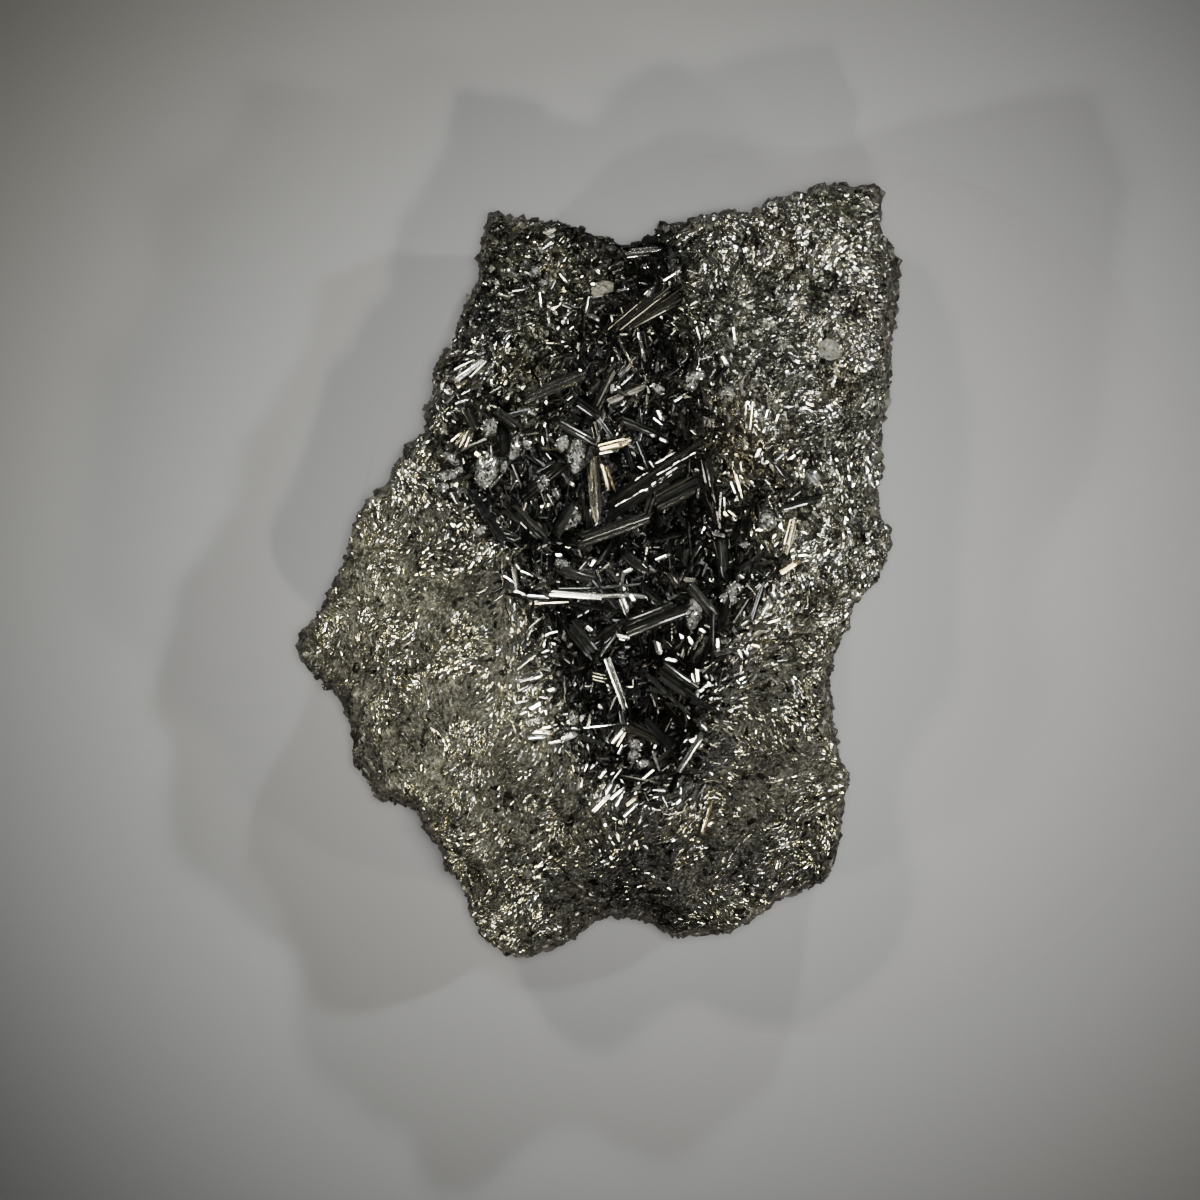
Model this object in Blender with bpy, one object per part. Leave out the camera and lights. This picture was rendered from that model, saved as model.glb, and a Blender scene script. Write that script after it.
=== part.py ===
"""A manganite specimen: a slab of granular ore with a hollow that is lined with intergrown crystals.

The slab lies on its broken back with the crystal face up. The origin is at the middle of the underside:
+X runs to the right of the crystal face, +Y up along it, and +Z out of it. Lengths and places are in
millimetres, and MM turns them into metres where a mesh is made.
"""

import math
import random

import bmesh
import bpy
from mathutils import Matrix, Vector, noise

MM = 0.001
SEED = 11

# --- the slab -------------------------------------------------------------------------------------------
FACE_HEIGHT = 23.0  # general level of the crystal face above the underside
GIRDLE_HEIGHT = 13.0  # where the broken sides reach furthest out
GRID_STEP, GRID_JITTER = 2.5, 0.65  # spacing of the facets of the crystal face, and how far they stray
BLOCK_HALF_X, BLOCK_HALF_Y = 33.0, 42.0  # the face is worked out a little past the broken edge
LUMP_SIZE, LUMP_HEIGHT = 9.0, 0.9
LEDGE_SIZE, LEDGE_HEIGHT = 13.0, 0.7
EDGE_WIDTH, EDGE_FALL = 4.0, 2.2  # the face rolls off towards its broken edge

# The broken edge seen from above, clockwise from the left of the notch at the top.
OUTLINE = [
    (-11.6, 30.8), (-11.2, 33.4), (-10.8, 35.3), (-10, 35.6), (-8.2, 35), (-5.1, 34.8), (-1.9, 34.2),
    (-1.4, 33.4), (0.8, 33.2), (2.9, 32), (4.2, 32.6), (5.9, 33.4), (6.5, 34.2), (8.6, 34.6), (11.2, 35.7),
    (12.2, 35.3), (13.2, 36), (14.2, 35.4), (15.6, 35.6), (17.4, 36.8), (19.9, 37.7), (21.4, 37.6),
    (22.1, 38.4), (23.8, 38.6), (26.4, 38.2), (27.1, 38.7), (28, 38.5), (28.1, 34), (29.2, 32.5), (30, 30.8),
    (30, 28), (29.6, 25), (29, 16.5), (28.2, 13.8), (28.2, 9.6), (27.7, 8.4), (28.1, 5), (29, 4.1),
    (28.9, 2.9), (28.4, 0.8), (26.9, -1.7), (25.2, -3.2), (24.8, -5.2), (23.5, -8.2), (23, -11), (23.4, -16),
    (24.2, -19.8), (25, -20.9), (24.4, -23.6), (23.8, -27.5), (23, -30.8), (19.9, -32.1), (17.7, -32.9),
    (16.6, -34.3), (14, -35.6), (13.2, -36.2), (10.1, -36.2), (8.3, -36.6), (6.4, -36), (5, -34.9),
    (0.8, -34.7), (-1.9, -36.3), (-4, -37.6), (-7.6, -38.7), (-9.9, -38), (-11.5, -36.6), (-12.4, -34),
    (-13.5, -31.4), (-14.9, -30), (-15.7, -27.5), (-16.9, -26.4), (-18.2, -23.9), (-20.1, -23.3),
    (-22.1, -22.9), (-23.2, -20.8), (-24.2, -19.2), (-24.7, -15.8), (-25.4, -13.7), (-26.9, -11.6),
    (-28.7, -10.1), (-30, -8.2), (-29.8, -6.6), (-28.2, -4.9), (-26.8, -2.4), (-25, 1.2), (-24.5, 3.8),
    (-23.1, 6.8), (-21.1, 8.4), (-20.4, 10.3), (-18.9, 12.3), (-16.7, 14.2), (-17.1, 15.6), (-16.2, 18.5),
    (-16.1, 20.7), (-14.6, 22.3), (-14.2, 23.6), (-12.7, 27.3), (-11.8, 28.4),
]
# How far the sides stand in from that outline, as (height, inset), and the sides that lean in at the top,
# as (direction in degrees, spread, inset at the face).
SIDE_PROFILE = [(-2, 3.6), (4, 1.8), (8.5, 0.6), (13, 0), (18.5, 0.1), (34, 1.4)]
LEANING_SIDES = [(40, 11, 2.2), (216, 12, 2.0), (272, 10, 1.0), (332, 14, 0.9)]
CRAG_SIZE, CRAGS_BELOW, CRAGS_ABOVE = 5.0, 2.4, 0.5  # how deep the sides are broken, beside the girdle
CRAG_SLIP = 1.6  # how far the corners of the crags stray up and down
GIRDLE_REACH, LEAN_REACH = 4.0, 8.0  # heights over which the crags and the lean set in, away from the girdle

# Broad swells and falls of the face, as (x, y, radius, rise).
SWELLS = [
    (-14, -13, 16, 2.0),
    (20, 20, 16, 2.5),
    (20, -15, 14, 0.5),
    (0, -33, 12, -3.0),
    (-28, -8, 10, -4.0),
    (20, -30, 10, -3.0),
    (-8, 31, 9, -1.5),
]
# Flat breaks that rise outwards from the underside, as (direction, distance from the middle, slope), in
# degrees and millimetres.
BACK_BREAKS = [
    (8, 22, 34), (52, 33, 26), (96, 27, 40), (148, 17, 30), (186, 19, 42), (226, 24, 25), (262, 31, 38),
    (300, 29, 24), (337, 20, 36),
]

# --- the hollow -----------------------------------------------------------------------------------------
# Its rim, clockwise from the left of the notch, where it runs out through the edge of the slab.
HOLLOW = [
    (-4.5, 36), (7.5, 36), (9.1, 31), (10.1, 27), (12.1, 22), (14.1, 17), (19.1, 12), (20.1, 7), (19.1, 1),
    (16.1, -4), (13.1, -9), (11.6, -15), (10.1, -20), (5.1, -23), (0.1, -22), (-3.9, -17), (-4.9, -13),
    (-5.9, -8), (-8.4, -3), (-9.4, 1), (-11.9, 5), (-16.4, 8), (-15.9, 12), (-12.9, 17), (-7.9, 24),
    (-5.9, 31),
]
SHELF_DEPTH = 4.0
RIM_WAVE, RIM_WAVE_SIZE = 0.7, 4.0
BED_LUMPS, BED_LUMP_SIZE = 1.2, 3.5
STEEP_WALL, GENTLE_WALL = 2.2, 3.8  # how far the left and the right walls run before they reach the floor
# Deeper basins inside that rim, as (x, y, radius, extra depth).
BASINS = [(3, 8, 11, 8.0), (3, -12, 8, 8.0), (3, 23, 7, 5.0)]

# --- the crystals in the hollow -------------------------------------------------------------------------
CRUST_GAP, CRUST_THICKNESS = 0.4, 1.0
ROOT_DEPTH = 0.7  # how far under the top of the crust a blade has its root
# The large blades, as (root, tip, width, thickness, height of the tip over the bed below it).
LARGE_BLADES = [
    ((-9, -1.9), (5, -2.7), 1.0, 0.6, 7.5),
    ((-8, -2.6), (2.6, -4.2), 0.7, 0.5, 5.0),
    ((0.2, 5), (10.7, 12.5), 2.6, 0.6, 5.5),
    ((-3.9, 2.5), (9.2, 7), 2.2, 0.6, 4.0),
    ((-0.7, 11.5), (0.2, 4.5), 1.3, 0.5, 4.5),
    ((0.2, 11.4), (3.4, 13.0), 1.0, 0.5, 3.5),
    ((0.5, 10.8), (1.5, 8), 0.9, 0.5, 3.0),
    ((3.5, 25.2), (4.7, 20.8), 0.7, 0.5, 3.5),
    ((1.9, 22.5), (4.2, 19.8), 0.8, 0.5, 3.0),
    ((9.1, 29), (-0.9, 24), 2.2, 0.6, 4.0),
    ((2.7, 31.5), (6.3, 32.3), 0.7, 0.5, 1.2),
    ((9.9, 8.4), (10.1, 6.2), 0.7, 0.5, 2.5),
    ((12.2, 8.3), (12.1, 5.2), 0.8, 0.5, 2.5),
    ((13.5, 9), (14.2, 7.2), 0.8, 0.5, 2.0),
    ((11, 13), (12.4, 9), 1.2, 0.6, 2.5),
    ((0.8, -9), (2.9, -14.1), 1.2, 0.7, 5.0),
    ((11, -16.1), (4.2, -9.8), 0.7, 0.5, 4.0),
    ((10.4, -16.5), (8, -20.2), 0.8, 0.5, 2.5),
    ((1.4, -17.5), (2.7, -15.8), 0.8, 0.5, 3.0),
    ((0.6, -22.5), (2.2, -19.5), 0.9, 0.5, 3.5),
    ((1.5, -22), (4.2, -20), 0.9, 0.5, 3.5),
    ((2.7, -23.5), (4.7, -21.5), 0.9, 0.5, 3.0),
    ((-5.5, -16.6), (2.2, -15.5), 1.1, 0.7, 6.0),
    ((-6, -14), (-3.4, -12.4), 0.8, 0.5, 2.0),
    ((-4.8, -8), (-1.6, -10.2), 0.8, 0.5, 4.0),
    ((1.9, -1), (5.7, 0.8), 0.8, 0.5, 4.0),
    ((14.7, 16.5), (13.5, 13.5), 0.7, 0.5, 2.0),
    ((-13, 8.4), (-10, 12.5), 1.2, 0.6, 1.8),
    ((-8, 17), (-1, 20), 1.6, 0.6, 4.0),
    ((-8, 7), (-3, 11), 1.4, 0.6, 3.0),
]
SMALL_BLADES, BLADE_SPACING = 68, 2.1
WALL_GROWTH = 4.0  # within this distance of the rim the blades stand out from the wall
TIP_CLEARANCE = 1.7  # the least height of a small blade's tip over the rock
END_SLANT = 0.7  # how steeply the free end of a blade is cut off
BLADE_TREND, BLADE_SWING, BLADE_SCATTER = 48.0, 75.0, 24.0  # degrees from +X
# Rounded granular nodules among the blades, as (x, y, long radius, short radius, turn in degrees).
NODULES = [
    (-11.6, 10, 1.9, 1.2, 75),
    (-10.8, 14.5, 1.2, 0.9, 20),
    (-8.1, 12, 1.3, 0.9, 60),
    (-2.6, 11.2, 1.2, 0.9, 0),
    (-2.9, 5.5, 1.1, 0.8, 50),
    (9.8, -4.2, 1.7, 0.8, 80),
    (13, -2.4, 1.2, 0.9, 30),
    (16.5, 4.5, 1.3, 0.9, 110),
]

# --- what grows on the face -----------------------------------------------------------------------------
# Blades at the rim of the hollow and on the plateaus, as (root, tip, width, thickness).
FACE_BLADES = [
    ((-15.6, 19), (-10.9, 21.3), 1.0, 0.7),
    ((-15.2, 17.6), (-12.1, 19.2), 0.9, 0.6),
    ((20.4, 5), (18.9, 1.2), 1.3, 0.7),
    ((21, 1), (18.6, -0.6), 1.1, 0.7),
    ((17.9, -2.6), (16.4, -4.9), 1.1, 0.7),
    ((-10.2, -14.8), (-5.8, -13.3), 1.0, 0.7),
    ((-9.8, -17), (-5.5, -16.6), 1.0, 0.7),
    ((10.2, -27), (11.7, -22.9), 1.0, 0.7),
    ((14.6, -12.5), (13.2, -15.5), 1.0, 0.6),
]
FACE_FLAKES = 30
RIM_CLEARANCE, EDGE_CLEARANCE = 1.5, 2.5  # the flakes keep this far from the hollow and from the broken edge
SUNK = 0.1  # how far the middle of a blade's root lies under the face
CORNER_BLOCKS = [(27.2, 38.0, 24.2, 1.3), (28.4, 3.6, 15.0, 1.3)]  # x, y, z, size

# --- the pale grains ------------------------------------------------------------------------------------
GRAIN_GAP = 0.3
# Each as (x, y, half sizes, turn in degrees, height of its middle over the rock).
PALE_GRAINS = {
    "pale_grain_right": (23.1, 22.0, (1.2, 1.3, 0.9), 20, 0.25),
    "pale_grain_top": (0.3, 28.3, (1.6, 1.0, 0.8), 12, 2.0),
}


def clear_scene():
    for old in list(bpy.data.objects):
        bpy.data.objects.remove(old)


def new_collection(name):
    collection = bpy.data.collections.new(name)
    bpy.context.scene.collection.children.link(collection)
    return collection


def new_object(name, bm, collection):
    """An object with the faces of a bmesh that is in millimetres."""
    bmesh.ops.scale(bm, vec=(MM, MM, MM), verts=bm.verts)
    mesh = bpy.data.meshes.new(name)
    bm.to_mesh(mesh)
    bm.free()
    made = bpy.data.objects.new(name, mesh)
    collection.objects.link(made)
    return made


def material(name, colour, roughness, metallic):
    made = bpy.data.materials.new(name)
    made.use_nodes = True
    shader = made.node_tree.nodes["Principled BSDF"]
    shader.inputs["Base Color"].default_value = (*colour, 1.0)
    shader.inputs["Roughness"].default_value = roughness
    shader.inputs["Metallic"].default_value = metallic
    return made


def evaluated_mesh(source):
    graph = bpy.context.evaluated_depsgraph_get()
    return bpy.data.meshes.new_from_object(source.evaluated_get(graph), depsgraph=graph)


def combine(target, tool, operation, overlapping=False):
    """Joins, cuts or intersects a target with a tool, and keeps the result as the target's own mesh."""
    modifier = target.modifiers.new(operation.lower(), "BOOLEAN")
    modifier.operation = operation
    modifier.solver = "EXACT"
    modifier.use_self = overlapping
    modifier.object = tool
    bpy.context.view_layer.update()
    result = evaluated_mesh(target)
    target.modifiers.clear()
    target.data = result


def prism(name, points, low, high, collection):
    """The closed prism of a flat outline, between two heights."""
    curve = bpy.data.curves.new(name, "CURVE")
    curve.dimensions = "2D"
    curve.fill_mode = "BOTH"
    curve.extrude = (high - low) / 2 * MM
    spline = curve.splines.new("POLY")
    spline.points.add(len(points) - 1)
    spline.use_cyclic_u = True
    for point, (x, y) in zip(spline.points, points):
        point.co = (x * MM, y * MM, 0, 1)
    outline = bpy.data.objects.new(name + "_outline", curve)
    outline.location.z = (high + low) / 2 * MM
    collection.objects.link(outline)
    bpy.context.view_layer.update()
    bm = bmesh.new()
    bm.from_mesh(evaluated_mesh(outline))
    bmesh.ops.transform(bm, matrix=outline.matrix_world, verts=bm.verts)
    bpy.data.objects.remove(outline)
    bmesh.ops.remove_doubles(bm, verts=bm.verts, dist=0.001 * MM)
    bmesh.ops.scale(bm, vec=(1 / MM, 1 / MM, 1 / MM), verts=bm.verts)
    return bm


def between(pairs, at):
    """Reads a list of (place, value) pairs at a place between them."""
    for (low, first), (high, second) in zip(pairs, pairs[1:]):
        if at <= high:
            return first + (second - first) * (at - low) / (high - low)
    return pairs[-1][1]


def depth_inside(points, x, y):
    """Distance from a point to the nearest side of an outline: positive inside it, negative outside."""
    nearest = math.inf
    inside = False
    for (ax, ay), (bx, by) in zip(points, points[1:] + points[:1]):
        along_x, along_y = bx - ax, by - ay
        share = ((x - ax) * along_x + (y - ay) * along_y) / (along_x**2 + along_y**2)
        share = min(1.0, max(0.0, share))
        nearest = min(nearest, math.hypot(x - ax - share * along_x, y - ay - share * along_y))
        if (ay > y) != (by > y) and x < ax + (y - ay) / along_y * along_x:
            inside = not inside
    return nearest if inside else -nearest


def hollow_depth(x, y):
    """How far the hollow goes down below the face at a point."""
    wave = noise.noise(Vector((x / RIM_WAVE_SIZE, y / RIM_WAVE_SIZE, 3.7)))
    reach = depth_inside(HOLLOW, x, y) + RIM_WAVE * wave
    if reach <= 0:
        return 0.0
    depth = SHELF_DEPTH
    for centre_x, centre_y, radius, extra in BASINS:
        depth += extra * math.exp(-((x - centre_x) ** 2 + (y - centre_y) ** 2) / radius**2)
    depth += BED_LUMPS * noise.noise(Vector((x / BED_LUMP_SIZE, y / BED_LUMP_SIZE, 8.1)))
    run = STEEP_WALL + (GENTLE_WALL - STEEP_WALL) * min(1.0, max(0.0, (x + 2) / 12))
    return depth * (1 - math.exp(-((reach / run) ** 1.5)))


def relief(x, y):
    """Height of the crystal face over the underside at a point."""
    height = FACE_HEIGHT
    for centre_x, centre_y, radius, rise in SWELLS:
        height += rise * math.exp(-((x - centre_x) ** 2 + (y - centre_y) ** 2) / radius**2)
    edge = max(0.0, 1 - depth_inside(OUTLINE, x, y) / EDGE_WIDTH)
    height -= EDGE_FALL * min(edge, 1.5) ** 2
    height += LUMP_HEIGHT * noise.noise(Vector((x / LUMP_SIZE, y / LUMP_SIZE, 0.5)))
    height += LEDGE_HEIGHT * math.tanh(9 * noise.noise(Vector((x / LEDGE_SIZE, y / LEDGE_SIZE, 5.2))))
    return height - hollow_depth(x, y)


def relief_block(name, raised, collection):
    """A block whose top is the crystal face, raised by a distance, and whose underside is flat at zero."""
    columns, rows = round(2 * BLOCK_HALF_X / GRID_STEP), round(2 * BLOCK_HALF_Y / GRID_STEP)
    scatter = random.Random(SEED)
    bm = bmesh.new()
    bmesh.ops.create_grid(bm, x_segments=columns, y_segments=rows, size=1.0)
    bmesh.ops.scale(bm, vec=(BLOCK_HALF_X, BLOCK_HALF_Y, 1.0), verts=bm.verts)
    for vert in bm.verts:
        if not vert.is_boundary:
            vert.co.x += scatter.uniform(-GRID_JITTER, GRID_JITTER)
            vert.co.y += scatter.uniform(-GRID_JITTER, GRID_JITTER)
        vert.co.z = relief(vert.co.x, vert.co.y) + raised
    bmesh.ops.triangulate(bm, faces=bm.faces, quad_method="SHORT_EDGE")
    below = bmesh.ops.extrude_face_region(bm, geom=bm.faces[:])
    for part in below["geom"]:
        if isinstance(part, bmesh.types.BMVert):
            part.co.z = 0.0
    floor = [face for face in bm.faces if all(vert.co.z == 0.0 for vert in face.verts)]
    bmesh.ops.dissolve_faces(bm, faces=floor)
    bmesh.ops.recalc_face_normals(bm, faces=bm.faces)
    return new_object(name, bm, collection)


def lean(direction):
    """How far a side leans in at the top, seen in a direction in degrees."""
    inset = 0.0
    for middle, spread, most in LEANING_SIDES:
        away = (direction - middle + 180) % 360 - 180
        inset += most * math.exp(-((away / spread) ** 2))
    return inset


def side_walls(name, collection):
    """The broken sides as a closed block, cut into bands and drawn in above and below the girdle."""
    bm = prism(name, OUTLINE, SIDE_PROFILE[0][0], SIDE_PROFILE[-1][0], collection)
    for height, _ in SIDE_PROFILE[1:-1]:
        everything = bm.verts[:] + bm.edges[:] + bm.faces[:]
        bmesh.ops.bisect_plane(bm, geom=everything, plane_co=(0, 0, height), plane_no=(0, 0, 1))
    for vert in bm.verts:
        x, y, z = vert.co
        off_girdle = min(1.0, abs(z - GIRDLE_HEIGHT) / GIRDLE_REACH)
        crag = 0.5 + noise.noise(Vector((x, y, z)) / CRAG_SIZE)
        crags = CRAGS_BELOW if z < GIRDLE_HEIGHT else CRAGS_ABOVE
        inset = between(SIDE_PROFILE, z) + max(0.0, crag) * crags * off_girdle
        top = min(1.0, max(0.0, (z - GIRDLE_HEIGHT) / LEAN_REACH))
        inset += lean(math.degrees(math.atan2(y, x))) * top
        share = 1 - inset / math.hypot(x, y)
        slip = CRAG_SLIP * noise.noise(Vector((x, y, 2 * z)) / 3) * off_girdle
        vert.co = (x * share, y * share, z + slip)
    bmesh.ops.triangulate(bm, faces=bm.faces)
    bmesh.ops.recalc_face_normals(bm, faces=bm.faces)
    return new_object(name, bm, collection)


def add_blade(bm, root, tip, width, thickness, roll, sides=4, taper=0.8):
    """A flat prism from a root to a tip, with a slanting end and its broad face turned by the roll."""
    axis = tip - root
    length = axis.length
    made = bmesh.ops.create_cone(
        bm, cap_ends=True, segments=sides, radius1=0.5, radius2=0.5 * taper, depth=1.0
    )["verts"]
    if sides == 4:
        bmesh.ops.rotate(bm, verts=made, cent=(0, 0, 0), matrix=Matrix.Rotation(math.pi / 4, 3, "Z"))
        bmesh.ops.scale(bm, vec=(math.sqrt(2), math.sqrt(2), 1), verts=made)
    bmesh.ops.scale(bm, vec=(width, thickness, length), verts=made)
    for vert in made:
        if vert.co.z > 0:
            vert.co.z += END_SLANT * vert.co.x
    turn = axis.to_track_quat("Z", "Y").to_matrix().to_4x4() @ Matrix.Rotation(roll, 4, "Z")
    bmesh.ops.transform(bm, matrix=Matrix.Translation((root + tip) / 2) @ turn, verts=made)


def blade_direction(x, y, scatter):
    """The way a blade points on the plan, in radians: neighbours lie roughly alike."""
    swing = BLADE_SWING * noise.noise(Vector((x / 9, y / 9, 12.3)))
    return math.radians(BLADE_TREND + swing + scatter.gauss(0, BLADE_SCATTER))


def on_bed(x, y, over):
    """A point in the hollow, at a height over the underside of the crust."""
    return Vector((x, y, relief(x, y) + CRUST_GAP + over))


def crust_blades(name, collection):
    """All the blades and nodules that stand on the crust, as one object of overlapping solids."""
    root_height = CRUST_THICKNESS - ROOT_DEPTH
    scatter = random.Random(SEED + 1)
    bm = bmesh.new()
    for root, tip, width, thickness, over in LARGE_BLADES:
        sides = 6 if width > 1 else 4
        roll = scatter.uniform(-0.4, 0.4)
        add_blade(bm, on_bed(*root, root_height), on_bed(*tip, over), width, thickness, roll, sides)
    placed = []
    while len(placed) < SMALL_BLADES:
        x, y = scatter.uniform(-17, 20), scatter.uniform(-23, 33)
        way = blade_direction(x, y, scatter)
        length = scatter.uniform(3.2, 6.8)
        from_wall = depth_inside(HOLLOW, x, y)
        steepest = 50 if from_wall > WALL_GROWTH else 22
        climb = math.radians(scatter.uniform(-5, steepest))
        step_x, step_y = length * math.cos(climb) * math.cos(way), length * math.cos(climb) * math.sin(way)
        if depth_inside(HOLLOW, x - step_x, y - step_y) > depth_inside(HOLLOW, x + step_x, y + step_y):
            step_x, step_y = -step_x, -step_y  # blades grow away from the wall
        if min(from_wall, depth_inside(HOLLOW, x + step_x, y + step_y)) < 0.5:
            continue
        if any(math.hypot(x - other_x, y - other_y) < BLADE_SPACING for other_x, other_y in placed):
            continue
        root = on_bed(x, y, root_height)
        bed = relief(x + step_x, y + step_y)
        tip_z = max(root.z + length * math.sin(climb), bed + TIP_CLEARANCE)
        tip = Vector((x + step_x, y + step_y, tip_z))
        if tip.z > FACE_HEIGHT + 1:
            continue
        width = scatter.uniform(0.8, 2.0)
        add_blade(bm, root, tip, width, 0.45 + 0.2 * width, scatter.uniform(-1.2, 1.2))
        placed.append((x, y))
    for x, y, long_radius, short_radius, turn in NODULES:
        made = bmesh.ops.create_icosphere(bm, subdivisions=1, radius=1.0)["verts"]
        bmesh.ops.scale(bm, vec=(long_radius, short_radius, short_radius), verts=made)
        place = Matrix.Translation(on_bed(x, y, CRUST_THICKNESS))
        place @= Matrix.Rotation(math.radians(turn), 4, "Z") @ Matrix.Rotation(0.5, 4, "X")
        bmesh.ops.transform(bm, matrix=place, verts=made)
    bmesh.ops.recalc_face_normals(bm, faces=bm.faces)
    return new_object(name, bm, collection)


def face_blades(name, grown, collection):
    """The blades, flakes and blocks half sunk in the face, or the space that they need with a gap round it."""
    scatter = random.Random(SEED + 2)
    bm = bmesh.new()
    more = 2 * grown
    for (root_x, root_y), (tip_x, tip_y), width, thickness in FACE_BLADES:
        root = Vector((root_x, root_y, relief(root_x, root_y) - SUNK))
        tip = Vector((tip_x, tip_y, max(relief(tip_x, tip_y) + 0.5, root.z - 1.0)))
        past = (tip - root).normalized() * grown
        roll = scatter.uniform(-0.3, 0.3)
        add_blade(bm, root - past, tip + past, width + more, thickness + more, roll)
    placed = 0
    while placed < FACE_FLAKES:
        x, y = scatter.uniform(-29, 29), scatter.uniform(-38, 38)
        way = blade_direction(x, y, scatter)
        length = scatter.uniform(1.8, 3.6)
        tip_x, tip_y = x + length * math.cos(way), y + length * math.sin(way)
        if min(depth_inside(OUTLINE, x, y), depth_inside(OUTLINE, tip_x, tip_y)) < EDGE_CLEARANCE:
            continue
        if max(depth_inside(HOLLOW, x, y), depth_inside(HOLLOW, tip_x, tip_y)) > -RIM_CLEARANCE:
            continue
        root = Vector((x, y, relief(x, y) - SUNK))
        tip = Vector((tip_x, tip_y, relief(tip_x, tip_y) + 0.35))
        add_blade(bm, root, tip, scatter.uniform(0.8, 1.5), 0.8, scatter.uniform(-0.5, 0.5))
        placed += 1
    for x, y, z, size in CORNER_BLOCKS:
        made = bmesh.ops.create_cube(bm, size=size)["verts"]
        tilt = Matrix.Rotation(scatter.uniform(0.2, 0.8), 4, Vector((1, 2, 3)))
        bmesh.ops.transform(bm, matrix=Matrix.Translation((x, y, z)) @ tilt, verts=made)
    bmesh.ops.recalc_face_normals(bm, faces=bm.faces)
    return new_object(name, bm, collection)


def back_break(direction, distance, slope, collection):
    """A large cube whose upper side is one flat break, for cutting the lower edge of the slab."""
    size = 60.0
    bm = bmesh.new()
    bmesh.ops.create_cube(bm, size=size)
    bmesh.ops.translate(bm, vec=(size / 2 - 3, 0, -size / 2), verts=bm.verts)
    tilt = Matrix.Rotation(math.radians(-slope), 4, "Y")
    turn = Matrix.Rotation(math.radians(direction), 4, "Z")
    bmesh.ops.transform(bm, matrix=turn @ Matrix.Translation((distance, 0, 0)) @ tilt, verts=bm.verts)
    return new_object("back_break", bm, collection)


def pale_grain(name, grown, collection):
    """A blunt, slightly flattened grain, or its pocket where it is grown by a gap."""
    x, y, half_sizes, turn, over = PALE_GRAINS[name]
    bm = bmesh.new()
    made = bmesh.ops.create_icosphere(bm, subdivisions=2, radius=1.0)["verts"]
    for vert in made:
        vert.co *= 1 + 0.16 * noise.noise(vert.co * 1.7 + Vector((x, y, 0)))
    bmesh.ops.scale(bm, vec=[half + grown for half in half_sizes], verts=made)
    place = Matrix.Translation((x, y, relief(x, y) + over))
    bmesh.ops.transform(bm, matrix=place @ Matrix.Rotation(math.radians(turn), 4, "Z"), verts=made)
    return new_object(name + ("_pocket" if grown else ""), bm, collection)


def keep_largest(target):
    """Drops the loose splinters that a cut leaves, and keeps the one large solid."""
    bm = bmesh.new()
    bm.from_mesh(target.data)
    left = set(bm.verts)
    largest = set()
    while left:
        group = {left.pop()}
        front = list(group)
        while front:
            for edge in front.pop().link_edges:
                for vert in edge.verts:
                    if vert not in group:
                        group.add(vert)
                        front.append(vert)
        left -= group
        if len(group) > len(largest):
            largest = group
    bmesh.ops.delete(bm, geom=[vert for vert in bm.verts if vert not in largest], context="VERTS")
    bmesh.ops.dissolve_degenerate(bm, edges=bm.edges, dist=0.002 * MM)
    bm.to_mesh(target.data)
    bm.free()


def finish(target, name, parts, surface):
    """Names a piece, moves it among the parts and gives it its one material."""
    for collection in list(target.users_collection):
        collection.objects.unlink(target)
    parts.objects.link(target)
    target.name = name
    target.data.name = name
    target.data.materials.clear()
    target.data.materials.append(surface)


clear_scene()
parts = new_collection("manganite_specimen")
cutters = new_collection("cutters")

rock = material("granular_manganite", (0.16, 0.155, 0.135), 0.45, 0.6)
crystal = material("manganite_crystal", (0.05, 0.05, 0.05), 0.22, 0.9)
pale_mineral = material("pale_mineral", (0.6, 0.57, 0.48), 0.4, 0.0)

# The slab: its broken sides, closed on top by the crystal face and below by the flat back.
face_block = relief_block("face_block", 0.0, cutters)
matrix_stone = side_walls("side_walls", cutters)
slab_sides = side_walls("slab_sides", cutters)
combine(matrix_stone, face_block, "INTERSECT")
combine(matrix_stone, face_blades("face_blades", 0.0, cutters), "UNION", overlapping=True)
for direction, distance, slope in BACK_BREAKS:
    combine(matrix_stone, back_break(direction, distance, slope, cutters), "DIFFERENCE")
combine(matrix_stone, pale_grain("pale_grain_right", GRAIN_GAP, cutters), "DIFFERENCE")
keep_largest(matrix_stone)
finish(matrix_stone, "matrix", parts, rock)

# The crust: a skin over the hollow with the blades that stand on it, cut clear of the rock below.
crust = new_object("crust", prism("crust", HOLLOW, 2.0, 40.0, cutters), cutters)
combine(crust, relief_block("crust_top", CRUST_GAP + CRUST_THICKNESS, cutters), "INTERSECT")
combine(crust, slab_sides, "INTERSECT")
combine(crust, crust_blades("crust_blades", cutters), "UNION", overlapping=True)
combine(crust, relief_block("crust_bed", CRUST_GAP, cutters), "DIFFERENCE")
combine(crust, face_blades("rim_blade_space", GRAIN_GAP, cutters), "DIFFERENCE", overlapping=True)
combine(crust, pale_grain("pale_grain_top", GRAIN_GAP, cutters), "DIFFERENCE")
keep_largest(crust)
finish(crust, "vug_crystals", parts, crystal)

for grain_name in PALE_GRAINS:
    finish(pale_grain(grain_name, 0.0, cutters), grain_name, parts, pale_mineral)

for cutter in cutters.objects:
    cutter.hide_render = True
    cutter.display_type = "WIRE"
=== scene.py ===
# %% [markdown]
# # A manganite specimen
# Manganite is a manganese ore. This piece is a slab struck from a vein: a felt of fine, glittering grains
# with an open hollow in the middle, where larger crystals had the room to grow into striated blades. The
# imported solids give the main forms. This script dresses them with the thousands of grains and blades that a
# solid can't hold, and gives them their finishes.

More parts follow.
